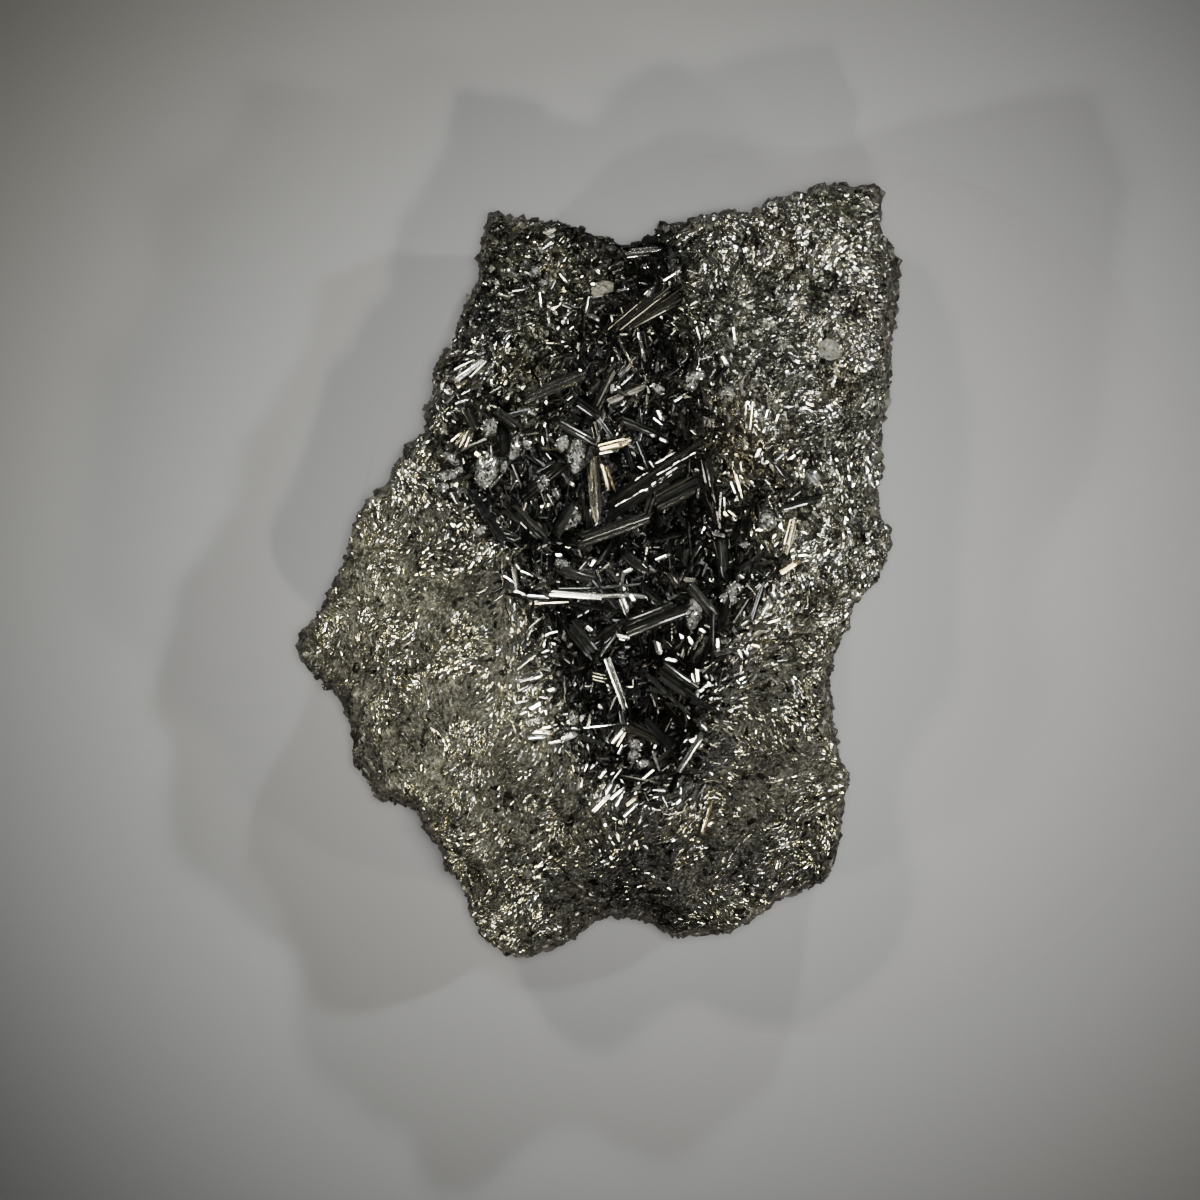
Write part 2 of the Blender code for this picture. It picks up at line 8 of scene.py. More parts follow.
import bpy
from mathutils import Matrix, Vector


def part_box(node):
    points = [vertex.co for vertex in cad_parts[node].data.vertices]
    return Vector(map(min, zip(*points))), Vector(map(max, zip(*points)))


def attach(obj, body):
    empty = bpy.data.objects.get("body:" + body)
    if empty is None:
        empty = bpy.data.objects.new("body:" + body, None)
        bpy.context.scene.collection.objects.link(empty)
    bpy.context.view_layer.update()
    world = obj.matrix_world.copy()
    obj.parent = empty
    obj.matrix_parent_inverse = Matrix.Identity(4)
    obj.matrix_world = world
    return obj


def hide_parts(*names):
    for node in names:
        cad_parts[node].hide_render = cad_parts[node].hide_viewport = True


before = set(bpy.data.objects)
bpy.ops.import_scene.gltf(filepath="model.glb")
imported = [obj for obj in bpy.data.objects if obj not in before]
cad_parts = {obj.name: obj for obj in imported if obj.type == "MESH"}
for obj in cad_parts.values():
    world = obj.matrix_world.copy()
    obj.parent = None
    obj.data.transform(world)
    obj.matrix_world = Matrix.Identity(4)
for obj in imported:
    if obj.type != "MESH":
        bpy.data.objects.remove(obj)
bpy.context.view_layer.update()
print("packed solids:", sorted(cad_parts))

# %% Tools and units
import math
import random
from typing import Callable, NamedTuple

import bmesh
import bpy
import numpy as np
from mathutils import Matrix, Vector, noise
from mathutils.bvhtree import BVHTree

MM = 0.001
SEED = 5
scene = bpy.context.scene

# %% [markdown]
# ## The camera
# A flat specimen is usually taken from straight above, with a long lens so that its outline isn't bent. The
# camera keeps Blender's own rest turn, which looks down -Z with +Y up, so it only needs a place. The focal
# length follows from the width that the picture covers at the level of the crystal face.

# %% Camera
PICTURE_WIDTH = 120 * MM
VIEW_X, VIEW_Y = 0.15 * MM, -3.0 * MM
FACE_LEVEL = 22 * MM
CAMERA_HEIGHT = 1.1
SENSOR = 36.0

lens = bpy.data.cameras.new("camera")
lens.sensor_width = SENSOR
lens.lens = SENSOR * (CAMERA_HEIGHT - FACE_LEVEL) / PICTURE_WIDTH
camera = bpy.data.objects.new("camera", lens)
camera.location = (VIEW_X, VIEW_Y, CAMERA_HEIGHT)
scene.collection.objects.link(camera)
scene.camera = camera
print("focal length:", round(lens.lens), "mm")

# %% [markdown]
# ## Light
# A submetallic stone shows what stands around it: each tiny face is bright when it mirrors a lamp and dark
# when it mirrors the room. So the room is dim, and a few soft boxes stand round the stone. One wide box gives
# the broad sheen, and smaller, stronger ones give the glints. A soft spot from above makes the pool of light
# on the floor.

# %% Lamps
GRID = math.radians(8)  # a grid on each soft box keeps its light near the stone
WHITE_LIGHT, WARM, COOL = (1, 1, 1), (1.0, 0.96, 0.82), (0.94, 0.98, 1.0)


def soft_box(name, azimuth, elevation, distance, size, watts, colour):
    """A square lamp that points at the stone. Azimuth 0 is +X and 90 is +Y.

    Gives back the way that a face looks when it mirrors this lamp to the camera.
    """
    lamp = bpy.data.lights.new(name, "AREA")
    lamp.shape = "SQUARE"
    lamp.size = size
    lamp.spread = GRID
    lamp.energy = watts
    lamp.color = colour
    a, e = math.radians(azimuth), math.radians(elevation)
    away = Vector((math.cos(a) * math.cos(e), math.sin(a) * math.cos(e), math.sin(e)))
    made = bpy.data.objects.new(name, lamp)
    made.location = away * distance + Vector((0, 0, FACE_LEVEL))
    made.rotation_euler = away.to_track_quat("Z", "Y").to_euler()
    scene.collection.objects.link(made)
    return (away + Vector((0, 0, 1))).normalized()


FLASHES = [
    soft_box("wide_box", 125, 56, 0.9, 0.15, 0.015, WARM),
    soft_box("right_box", 20, 46, 0.8, 0.07, 0.008, COOL),
    soft_box("back_box", 75, 38, 0.8, 0.065, 0.006, COOL),
    soft_box("left_box", 205, 42, 0.8, 0.065, 0.006, WHITE_LIGHT),
    soft_box("low_box", 285, 54, 0.8, 0.07, 0.007, WARM),
    soft_box("corner_box", 330, 34, 0.8, 0.065, 0.005, WARM),
]

pool = bpy.data.lights.new("pool", "SPOT")
pool.energy = 15
pool.shadow_soft_size = 0.04
pool.spot_size = math.radians(13)
pool.spot_blend = 1.0
pool_place = bpy.data.objects.new("pool", pool)
pool_place.location = (0.02, -0.002, 0.75)
POOL_LOOK = Vector((0.015, 0, 1))  # the way a face looks when it mirrors the pool
scene.collection.objects.link(pool_place)

room = bpy.data.worlds.new("dim_room")
room.use_nodes = True
room.node_tree.nodes["Background"].inputs["Color"].default_value = (0.02, 0.02, 0.021, 1)
scene.world = room
print("a face that mirrors the wide box looks to", [round(part, 2) for part in FLASHES[0]])

# %% [markdown]
# ## Shader maths
# A pattern is a chain of nodes. Written as nodes and links it takes a page, so a small class wraps a socket
# and lets Python's own operators add the Math nodes. Everything else comes from one method of a finish.


# %% Sockets and finishes
class Value:
    """A socket that arithmetic works on."""

    def __init__(self, finish, socket):
        self.finish, self.socket = finish, socket

    def _math(self, operation, *values):
        return self.finish.node("ShaderNodeMath", {"operation": operation}, dict(enumerate(values)))

    def __add__(self, other):
        return self._math("ADD", self, other)

    def __radd__(self, other):
        return self._math("ADD", other, self)

    def __sub__(self, other):
        return self._math("SUBTRACT", self, other)

    def __rsub__(self, other):
        return self._math("SUBTRACT", other, self)

    def __mul__(self, other):
        return self._math("MULTIPLY", self, other)

    def __rmul__(self, other):
        return self._math("MULTIPLY", other, self)


class Finish:
    """A material whose nodes are added one call at a time."""

    def __init__(self, name, colour, roughness, metallic):
        self.material = bpy.data.materials.new(name)
        self.material.use_nodes = True
        self.tree = self.material.node_tree
        self.shader = self.tree.nodes["Principled BSDF"]
        self.shader.inputs["Base Color"].default_value = (*colour, 1)
        self.shader.inputs["Roughness"].default_value = roughness
        self.shader.inputs["Metallic"].default_value = metallic

    def node(self, kind, settings=None, inputs=None, output=0):
        """Adds a node: its settings first, then the values or links of its sockets."""
        made = self.tree.nodes.new(kind)
        for key, value in (settings or {}).items():
            setattr(made, key, value)
        for key, value in (inputs or {}).items():
            self.put(made.inputs[key], value)
        return Value(self, made.outputs[output])

    def put(self, socket, value):
        """Links a pattern to a socket, or sets a plain value on it."""
        if isinstance(value, Value):
            self.tree.links.new(value.socket, socket)
        else:
            socket.default_value = value

    def set(self, **inputs):
        """Feeds the Principled shader, with _ for each space in a socket's name."""
        for name, value in inputs.items():
            self.put(self.shader.inputs[name.replace("_", " ")], value)

    def place(self):
        """Where a point is on the stone, in metres."""
        return self.node("ShaderNodeTexCoord", None, None, "Object")

    def tint(self):
        """The colour that the mesh stores at each point."""
        return self.node("ShaderNodeAttribute", {"attribute_name": "tint"}, None, "Color")

    def noise(self, vector, scale, detail):
        """Grey clouds, from 0 to 1."""
        return self.node("ShaderNodeTexNoise", None, {"Vector": vector, "Scale": scale, "Detail": detail})

    def mixed(self, operation, *values):
        """Vector Math, which a colour goes through too."""
        return self.node("ShaderNodeVectorMath", {"operation": operation}, dict(enumerate(values)))

    def shaded(self, colour, factor):
        """A colour made lighter or darker by a number."""
        return self.node("ShaderNodeVectorMath", {"operation": "SCALE"}, {0: colour, "Scale": factor})


print("operators:", [name for name in dir(Value) if name.startswith("__r")])

# %% [markdown]
# ## The finish of the ore
# Each grain carries its own tint, which the mesh stores in an attribute. The finish only adds what is
# finer than a grain: specks of dark between the crystal faces, and cells of Voronoi noise whose random colour
# tips the normal a little. Every cell then mirrors another part of the room, which is what glitter is.

# %% Glittering ore
SPECK = 0.35  # the size in mm of the dark specks, and of the clouds in the pale grains


def ore_finish(name, roughness, metallic, cell, tip):
    """Ore whose cells, each of a size in mm, tip the normal by a share of its length."""
    finish = Finish(name, (0.24, 0.23, 0.19), roughness, metallic)
    place = finish.place()
    mottle = finish.noise(place, 1 / (SPECK * MM), 1)
    finish.set(Base_Color=finish.shaded(finish.tint(), 0.4 + 1.2 * mottle))
    finish.set(Roughness=roughness + 0.3 * (mottle - 0.5))
    cells = finish.node("ShaderNodeTexVoronoi", None, {"Vector": place, "Scale": 1 / (cell * MM)}, "Color")
    lean = finish.mixed("SUBTRACT", cells, (0.5, 0.5, 0.5))
    normal = finish.node("ShaderNodeNewGeometry", None, None, "Normal")
    finish.set(Normal=finish.mixed("NORMALIZE", finish.mixed("MULTIPLY_ADD", lean, (tip, tip, tip), normal)))
    return finish.material


ore = ore_finish("granular_manganite", 0.36, 0.45, 0.22, 0.7)
bright_ore = ore_finish("bright_manganite", 0.24, 0.75, 0.24, 0.8)
glint = ore_finish("glinting_manganite", 0.16, 0.95, 0.4, 0.2)
print("finish:", ore.name, "with", len(ore.node_tree.nodes), "nodes")

# %% [markdown]
# ## The plan of the hollow
# Colours and crystals both change at the rim of the hollow. The rim is a closed line of straight pieces on
# the plan, in millimetres, and the distance to it tells every later step how far inside or outside a point
# is. Noise breaks up whatever follows the line, so that nothing on the stone looks drawn with a ruler.

# %% Where things lie on the plan
# The rim, as (x, y), where x is to the right of the crystal face and y is along the slab.
HOLLOW = [
    (-4.5, 36), (7.5, 36), (9.1, 31), (10.1, 27), (12.1, 22), (14.1, 17), (19.1, 12), (20.1, 7), (19.1, 1),
    (16.1, -4), (13.1, -9), (11.6, -15), (10.1, -20), (5.1, -23), (0.1, -22), (-3.9, -17), (-4.9, -13),
    (-5.9, -8), (-8.4, -3), (-9.4, 1), (-11.9, 5), (-16.4, 8), (-15.9, 12), (-12.9, 17), (-7.9, 24),
    (-5.9, 31),
]


def inside_hollow(points):
    """Distance in mm from points to the rim of the hollow: positive inside it, negative outside."""
    x, y = points[:, 0], points[:, 1]
    nearest = np.full(len(points), np.inf)
    inside = np.zeros(len(points), bool)
    for (ax, ay), (bx, by) in zip(HOLLOW, HOLLOW[1:] + HOLLOW[:1]):
        step_x, step_y = bx - ax, by - ay
        share = ((x - ax) * step_x + (y - ay) * step_y) / (step_x**2 + step_y**2)
        share = np.clip(share, 0, 1)
        nearest = np.minimum(nearest, np.hypot(x - ax - share * step_x, y - ay - share * step_y))
        if step_y:
            inside ^= ((ay > y) != (by > y)) & (x < ax + (y - ay) / step_y * step_x)
    return np.where(inside, nearest, -nearest)


def noise_at(points, size, shift=0.0):
    """Smooth noise from about -1 to 1 at points in mm, with lumps of a size in mm.

    The shift only moves it to another part of the same noise, so that two patterns differ.
    """
    away = Vector((shift, shift, shift))
    return np.array([noise.noise(Vector(point) / size + away) for point in points])


def near(points, x, y, radius):
    """1 at a place on the plan, and falling softly away from it."""
    return np.exp(-((points[:, 0] - x) ** 2 + (points[:, 1] - y) ** 2) / radius**2)


print("points on the rim:", len(HOLLOW))

# %% [markdown]
# ## The body of the slab
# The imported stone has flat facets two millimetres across. A Remesh modifier turns it into an even skin of
# small quads, and each point is then pushed along its normal by a few octaves of noise: low lumps, and sharp
# ridges where the noise crosses zero. The skin only shows in the gaps between the grains, but the grains
# stand on it, so its lumps become theirs. The bed of the hollow is lifted to the top of the crystal crust
# that lines it, because the blades stand on that crust.


# %% The skin of the stone
def node_bmesh(node):
    """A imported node's shape in mm, with its loose triangles joined at their corners."""
    bm = bmesh.new()
    bm.from_mesh(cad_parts[node].data)
    bmesh.ops.remove_doubles(bm, verts=bm.verts, dist=0.002 * MM)
    bmesh.ops.scale(bm, vec=(1 / MM,) * 3, verts=bm.verts)
    return bm


def mesh_of(bm, name, scale=1.0):
    """The mesh of a bmesh, which is used up."""
    bmesh.ops.scale(bm, vec=(scale,) * 3, verts=bm.verts)
    mesh = bpy.data.meshes.new(name)
    bm.to_mesh(mesh)
    bm.free()
    return mesh


def remeshed(bm, voxel):
    """The even quad skin of a bmesh in mm."""
    rough = bpy.data.objects.new("rough", mesh_of(bm, "rough"))
    scene.collection.objects.link(rough)
    remesh = rough.modifiers.new("even_skin", "REMESH")
    remesh.mode = "VOXEL"
    remesh.voxel_size = voxel
    graph = bpy.context.evaluated_depsgraph_get()
    skin = bpy.data.meshes.new_from_object(rough.evaluated_get(graph), depsgraph=graph)
    bpy.data.objects.remove(rough)
    return skin


def vectors(items, name):
    """One vector of each item, as rows."""
    flat = np.empty(len(items) * 3, np.float32)
    items.foreach_get(name, flat)
    return flat.reshape(-1, 3).astype(float)


def points_and_normals(skin):
    """The points of a skin and their normals, as rows."""
    return vectors(skin.vertices, "co"), vectors(skin.vertex_normals, "vector")


def move_to(skin, points):
    """Moves the points of a skin to new places."""
    skin.vertices.foreach_set("co", points.astype(np.float32).ravel())
    skin.update()


def roughen(skin, lumps, lump_size, ridges, ridge_size):
    """Pushes the points of a skin in mm along their normals, by low lumps and sharp ridges."""
    points, normals = points_and_normals(skin)
    push = lumps * noise_at(points, lump_size)
    push += ridges * (0.35 - np.abs(noise_at(points, ridge_size, 4.0)))
    push += 0.3 * ridges * noise_at(points, ridge_size / 2.5, 9.0)
    points += normals * push[:, None]
    points[:, 2] = np.maximum(points[:, 2], 0.15 + 0.25 * np.abs(push))
    move_to(skin, points)


def raise_bed(skin):
    """Lifts the bed of the hollow to the top of the crust that lines it."""
    points, normals = points_and_normals(skin)
    on_bed = (normals[:, 2] > UPWARD) & (points[:, 2] > BED_LEVEL)
    points[:, 2] += CRUST_TOP * np.clip(inside_hollow(points) / CRUST_RUN, 0, 1) * on_bed
    move_to(skin, points)


CRUST_TOP, CRUST_RUN = 1.4, 2.0  # the height of the crust, and how far from the rim it takes to reach it
BED_LEVEL, UPWARD = 8.0, 0.05  # the bed lies above this level and faces up by more than this
VOXEL = 0.4
stone_skin = remeshed(node_bmesh("matrix"), VOXEL)
raise_bed(stone_skin)
roughen(stone_skin, lumps=0.3, lump_size=2.4, ridges=0.55, ridge_size=1.3)


def surface_of(mesh):
    """A tree for finding the surface below a point."""
    bm = bmesh.new()
    bm.from_mesh(mesh)
    tree = BVHTree.FromBMesh(bm)
    bm.free()
    return tree


bed = surface_of(stone_skin)


def over_bed(x, y, height):
    """A point at a height over the skin below it, in mm."""
    hit = bed.ray_cast(Vector((x, y, 60)), Vector((0, 0, -1)))[0]
    return Vector((x, y, hit.z + height))


print("stone skin:", len(stone_skin.polygons), "quads")

# %% [markdown]
# ## Colours of the ore
# The face isn't one grey. The broad lower left is olive, the upper right is neutral and colder, the far right
# is tan in places, and the broken sides are nearly black, partly from the dark of broken ore and partly as
# painted shade, the more so the lower they lie and the less they face up. A few soft patches over the plan,
# each with a colour and a reach, give each point its tint, and noise breaks their edges. Some patches hold
# painted shade: a shadow under the right pale grain, a dark hole near the rim, and in part the walnut of the
# far right wall.

# %% Tints over the plan
OLIVE, NEUTRAL, TAN = (0.235, 0.23, 0.166), (0.215, 0.22, 0.18), (0.36, 0.31, 0.21)
# The broken sides' colour is partly the dark of broken ore and partly painted shade on low sides that face up
# little.
UMBER, SLATE, BROKEN_AND_SHADED = (0.028, 0.025, 0.019), (0.045, 0.046, 0.04), (0.075, 0.068, 0.056)
# On the next line the black is painted shade, for a painted shadow and a dark hole, and the walnut is partly
# painted shade.
RUSSET, PAINTED_SHADE, SHADED_WALNUT = (0.27, 0.24, 0.165), (0.02, 0.02, 0.018), (0.06, 0.048, 0.039)
# Patches as (x, y, radius, colour, strength).
TINTS = [
    (20, 18, 17, NEUTRAL, 1.0),
    # Painted shadow under the right pale grain.
    (23.3, 20.6, 1.2, PAINTED_SHADE, 0.8),
    (-14, 25, 11, SLATE, 1.0),
    (14.5, 12, 5, RUSSET, 0.9),
    (19, 32, 2.5, TAN, 0.9),
    (26, 23, 3.0, TAN, 0.55),
    (23.5, 18.5, 2.4, RUSSET, 0.9),
    (18, -16, 11, UMBER, 0.75),
    (4, -33, 14, UMBER, 1.0),
    (20, -32, 9, UMBER, 0.7),
    (16, -31, 4.0, SLATE, 0.6),
    (-22, -14, 9, TAN, 0.12),
    # Painted shade inside a dark hole near the rim.
    (17.8, 8.8, 1.8, PAINTED_SHADE, 0.95),
    (5, -25.5, 5.0, UMBER, 0.4),
    (9.7, -20.5, 3.0, UMBER, 0.4),
    (-15.5, 3, 5.5, UMBER, 0.42),
    (-10.5, 0, 3.0, UMBER, 0.35),
    (-9.5, -8.5, 4.0, UMBER, 0.3),
    (-11, 27, 3.5, NEUTRAL, 0.35),
    # The far right wall: partly its own dark brown, partly painted shade where the wall faces away from the
    # light.
    (28.6, 28.5, 1.6, SHADED_WALNUT, 0.9),
    (28.8, 25.5, 1.6, SHADED_WALNUT, 0.9),
    (28.5, 22.5, 1.4, SHADED_WALNUT, 0.9),
]
SIDE_LEVEL, SIDE_RUN = 17.5, 5  # the broken sides begin below this level, and are dark after the run
WARP = 2.5  # how far noise bends the edges of the patches


def ore_tint(points, up):
    """The colour of the ore at points in mm, from where they lie and how far they face up, with painted shade
    on the sides.
    """
    warp = np.stack([noise_at(points, 5.0, shift) for shift in (1.0, 6.0)], axis=1)
    plan = points[:, :2] + WARP * warp
    colour = np.tile(OLIVE, (len(points), 1)).astype(float)
    for x, y, radius, wanted, strength in TINTS:
        colour += (np.array(wanted) - colour) * strength * near(plan, x, y, radius)[:, None]
    colour *= np.exp(0.6 * noise_at(points, 6.0, 71.0) + 0.8 * noise_at(points, 1.7, 81.0))[:, None]
    # Painted shade: the lower a point lies and the less it faces up, the more it takes the dark colour of the
    # broken sides.
    low = np.clip((SIDE_LEVEL - points[:, 2]) / SIDE_RUN, 0, 1)
    side = np.clip(low + 1.6 * np.clip(0.6 - up, 0, 1), 0, 1)[:, None]
    return colour + (np.array(BROKEN_AND_SHADED) - colour) * side


print("sample tint:", ore_tint(np.array([[-15.0, -12.0, 23.0]]), np.array([1.0])).round(3))

# %% [markdown]
# ## From a mesh to a piece
# Whatever this script makes ends up as an object that rides on the stone's one body. One function does that
# for every piece, and gives the count of its faces, because a heavy piece is better noticed early. Another
# stores a colour at each point of a mesh, where the finishes read it.


# %% Making pieces
def piece(name, mesh, finish, slot, *nodes):
    """Puts a mesh in metres into the scene as a piece that rides on the stone's one body."""
    mesh.materials.clear()
    mesh.materials.append(finish)
    made = bpy.data.objects.new(name, mesh)
    scene.collection.objects.link(made)
    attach(made, "root")
    if nodes:
        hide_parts(*nodes)
    print(name, len(mesh.polygons), "faces")
    return made


def add_tint(mesh, colours):
    """Stores one colour for each point of a mesh."""
    tint = mesh.attributes.new("tint", "FLOAT_COLOR", "POINT")
    flat = np.ones((len(colours), 4), np.float32)
    flat[:, :3] = colours
    tint.data.foreach_set("color", flat.ravel())


# %% [markdown]
# ## The ground that things grow on
# Grains and blades stand on the skin. For each of its triangles a list tells how far it lies inside the rim
# of the hollow and which way it faces, so that each layer can be kept to its own ground. The felt of the face
# turns into black crystals over a few millimetres, and that black is also painted shade of the deep hollow.
# Some corners of the hollow stay paler than others.

# %% The ground
# Paler corners of the hollow, which lose part of the black and its painted shade, as (x, y, radius, how much
# of the dark they lose).
PALER = [
    (-8, 22, 4.5, 0.9),
    (-7, 17, 2.5, 0.7),
    (-6, 27, 4.0, 0.6),
    (-12, 13, 3.0, 0.3),
    (14.5, 14.5, 4.0, 0.95),
    (16.0, 10.5, 3.6, 0.95),
    (17.5, 5, 3.5, 0.6),
    (-1, 30, 4.0, 0.3),
    (10.5, 25, 3.5, 0.8),
    (13.5, 19, 3.0, 0.6),
    (-6, -14, 3.0, 0.5),
]
RIM_START, RIM_RUN = -4.5, 8.0  # the face starts to darken outside the rim, and is dark after the run
RIM_STRAY = 2.6  # how far noise moves the line where it darkens


def darkness(points):
    """0 on the felt of the face, 1 deep in the hollow, where the black of the crystals is also painted shade.
    """
    reach = inside_hollow(points) + RIM_STRAY * noise_at(points, 3.0, 21.0)
    dark = np.clip((reach - RIM_START) / RIM_RUN, 0, 1)
    dark = dark * dark * (3 - 2 * dark)
    for x, y, radius, share in PALER:
        dark *= 1 - share * near(points, x, y, radius)
    return dark


def corners_of(skin):
    """The triangles of a skin as an array of corners."""
    skin.calc_loop_triangles()
    index = np.empty(len(skin.loop_triangles) * 3, np.int32)
    skin.loop_triangles.foreach_get("vertices", index)
    return vectors(skin.vertices, "co")[index.reshape(-1, 3)]


class Ground:
    """The triangles that things grow on, with what each needs to know of its place."""

    def __init__(self, corners):
        cross = np.cross(corners[:, 1] - corners[:, 0], corners[:, 2] - corners[:, 0])
        length = np.linalg.norm(cross, axis=1)
        self.corners = corners
        self.area = length / 2
        self.normal = cross / np.maximum(length, 1e-9)[:, None]
        self.centre = corners.mean(axis=1)
        self.reach = inside_hollow(self.centre)
        self.up = self.normal[:, 2]
        self.height = self.centre[:, 2]

    def kept(self, which):
        """A part of this ground."""
        return Ground(self.corners[which])


SIDE_UP, BACK_UP = 0.35, -0.4  # the sides begin where the stone faces up by less, and the back by less still
RESTING = 0.3  # nothing grows below this height, where the stone lies on the floor
stone = Ground(corners_of(stone_skin))
in_hollow = (stone.reach > 0) & (stone.up > UPWARD) & (stone.height > BED_LEVEL)
lining, outside = stone.kept(in_hollow), stone.kept(~in_hollow)
on_top = (outside.up > SIDE_UP) & (outside.height > SIDE_LEVEL)
face = outside.kept(on_top)
sides = outside.kept(~on_top & (outside.up > BACK_UP))
back = outside.kept((outside.up <= BACK_UP) & (outside.height > RESTING))
rim = Ground(np.concatenate([face.corners, lining.corners]))
for name, ground in (("face", face), ("sides", sides), ("back", back), ("lining", lining)):
    print(name, round(ground.area.sum()), "mm2")

# %% [markdown]
# ## The large blades
# These are the crystals that a visitor would remember, so each is given one by one: its root, its tip, its
# size, its tint and the way its broad face looks. A face that looks half way between the viewer and a lamp
# flashes, and one turned away from the lamps stays black, as in the real hollow. They are listed before the
# small ones, which have to keep clear of them.

# %% Large blades, one by one
WHITE, CREAM, GOLD, BRONZE = (0.9, 0.88, 0.8), (0.8, 0.72, 0.5), (0.7, 0.58, 0.32), (0.09, 0.085, 0.068)
PEARL, STEEL, SHADE, DARK = (0.6, 0.6, 0.54), (0.3, 0.3, 0.28), (0.062, 0.062, 0.055), (0.04, 0.04, 0.035)
ASH, OCHRE = (0.12, 0.12, 0.108), (0.3, 0.25, 0.15)
# Ways for a face to look: at a lamp, at the dim room, or past every lamp.
LIT, SKY, AWAY = FLASHES[0], Vector((-0.08, 0.16, 1)).normalized(), Vector((0, 0, 1))
# The blades that span the hollow, each as (root, tip, width, thickness, tint, way it looks). The third number
# of an end is its height.
BLADES = [
    ((-4.0, -1.9, 23.8), (0.2, -1.8, 23.1), 0.35, 0.35, DARK, LIT),
    ((0.2, -1.8, 23.1), (4.2, -1.4, 22.2), 0.3, 0.3, STEEL, SKY),
    ((2.6, -2.5, 23.2), (4.8, -2.7, 22.6), 0.5, 0.4, PEARL, SKY),
    ((-8, -2.6, 24.9), (2.6, -4.2, 18.5), 0.5, 0.4, DARK, SKY),
    ((0.3, 5.6, 13.2), (10.2, 12.2, 22.5), 2.5, 0.5, DARK, AWAY),
    ((-2.4, 2.7, 16.8), (6.0, 5.7, 17.8), 1.5, 0.5, DARK, AWAY),
    ((-0.7, 11.3, 14.9), (-0.1, 4.8, 17.0), 1.3, 0.5, BRONZE, SKY),
    ((-0.75, 11.0, 15.4), (-0.65, 8.0, 16.5), 0.28, 0.25, CREAM, LIT),
    ((-0.2, 8.2, 16.4), (0.0, 5.0, 17.4), 0.2, 0.2, STEEL, LIT),
    ((0.1, 12.2, 16.0), (3.3, 13.0, 16.4), 0.9, 0.4, GOLD, LIT),
    ((0.1, 11.7, 16.2), (1.7, 12.0, 16.4), 0.28, 0.25, WHITE, LIT),
    ((1.9, 12.75, 16.5), (3.3, 13.05, 16.8), 0.4, 0.3, CREAM, LIT),
    ((0.35, 10.6, 14.9), (1.05, 8.0, 15.7), 0.5, 0.4, CREAM, LIT),
    ((0.8, 10.4, 14.8), (1.65, 8.0, 15.5), 0.3, 0.35, GOLD, LIT),
    ((3.55, 25.2, 17.6), (4.0, 24.0, 18.0), 0.28, 0.3, CREAM, LIT),
    ((4.0, 23.8, 18.0), (4.7, 20.9, 18.8), 0.34, 0.3, WHITE, LIT),
    ((4.5, 24.8, 15.6), (4.8, 22.5, 16.8), 0.15, 0.2, CREAM, LIT),
    ((1.6, 22.4, 15.6), (2.4, 20.8, 16.1), 0.35, 0.3, STEEL, LIT),
    ((2.2, 22.9, 15.8), (3.7, 19.9, 16.8), 0.22, 0.25, CREAM, LIT),
    ((0.65, -8.9, 17.6), (2.65, -14.1, 19.2), 0.42, 0.4, WHITE, LIT),
    ((1.1, -8.8, 17.5), (2.65, -12.9, 18.8), 0.22, 0.35, WHITE, LIT),
    ((4.2, -9.9, 13.3), (10.2, -15.5, 24.5), 0.5, 0.4, STEEL, SKY),
    ((10.3, -16.5, 23.4), (8, -20.2, 22.5), 0.65, 0.4, PEARL, AWAY),
    ((-0.4, -18.7, 18.6), (1.4, -16.1, 17.6), 0.25, 0.25, PEARL, LIT),
    ((1.3, -17.4, 17.8), (2.7, -15.8, 17.6), 0.6, 0.4, WHITE, LIT),
    ((-2.0, -15.85, 20.6), (1.7, -15.5, 19.2), 0.22, 0.25, PEARL, SKY),
    ((-8, 17, 19.3), (-1, 20, 19.1), 1.5, 0.5, DARK, AWAY),
    ((-8, 7, 18.6), (-3, 11, 18.1), 1.3, 0.5, DARK, AWAY),
    ((19.5, 5.1, 24.3), (18.6, 1.6, 24.9), 0.85, 0.5, CREAM, LIT),
    ((18.2, -0.3, 24.8), (20.0, 0.9, 24.9), 0.7, 0.5, GOLD, LIT),
    ((10.4, -26.4, 21.9), (11.4, -23.0, 22.9), 0.5, 0.45, OCHRE, LIT),
]
print("blades that span the hollow:", len(BLADES))
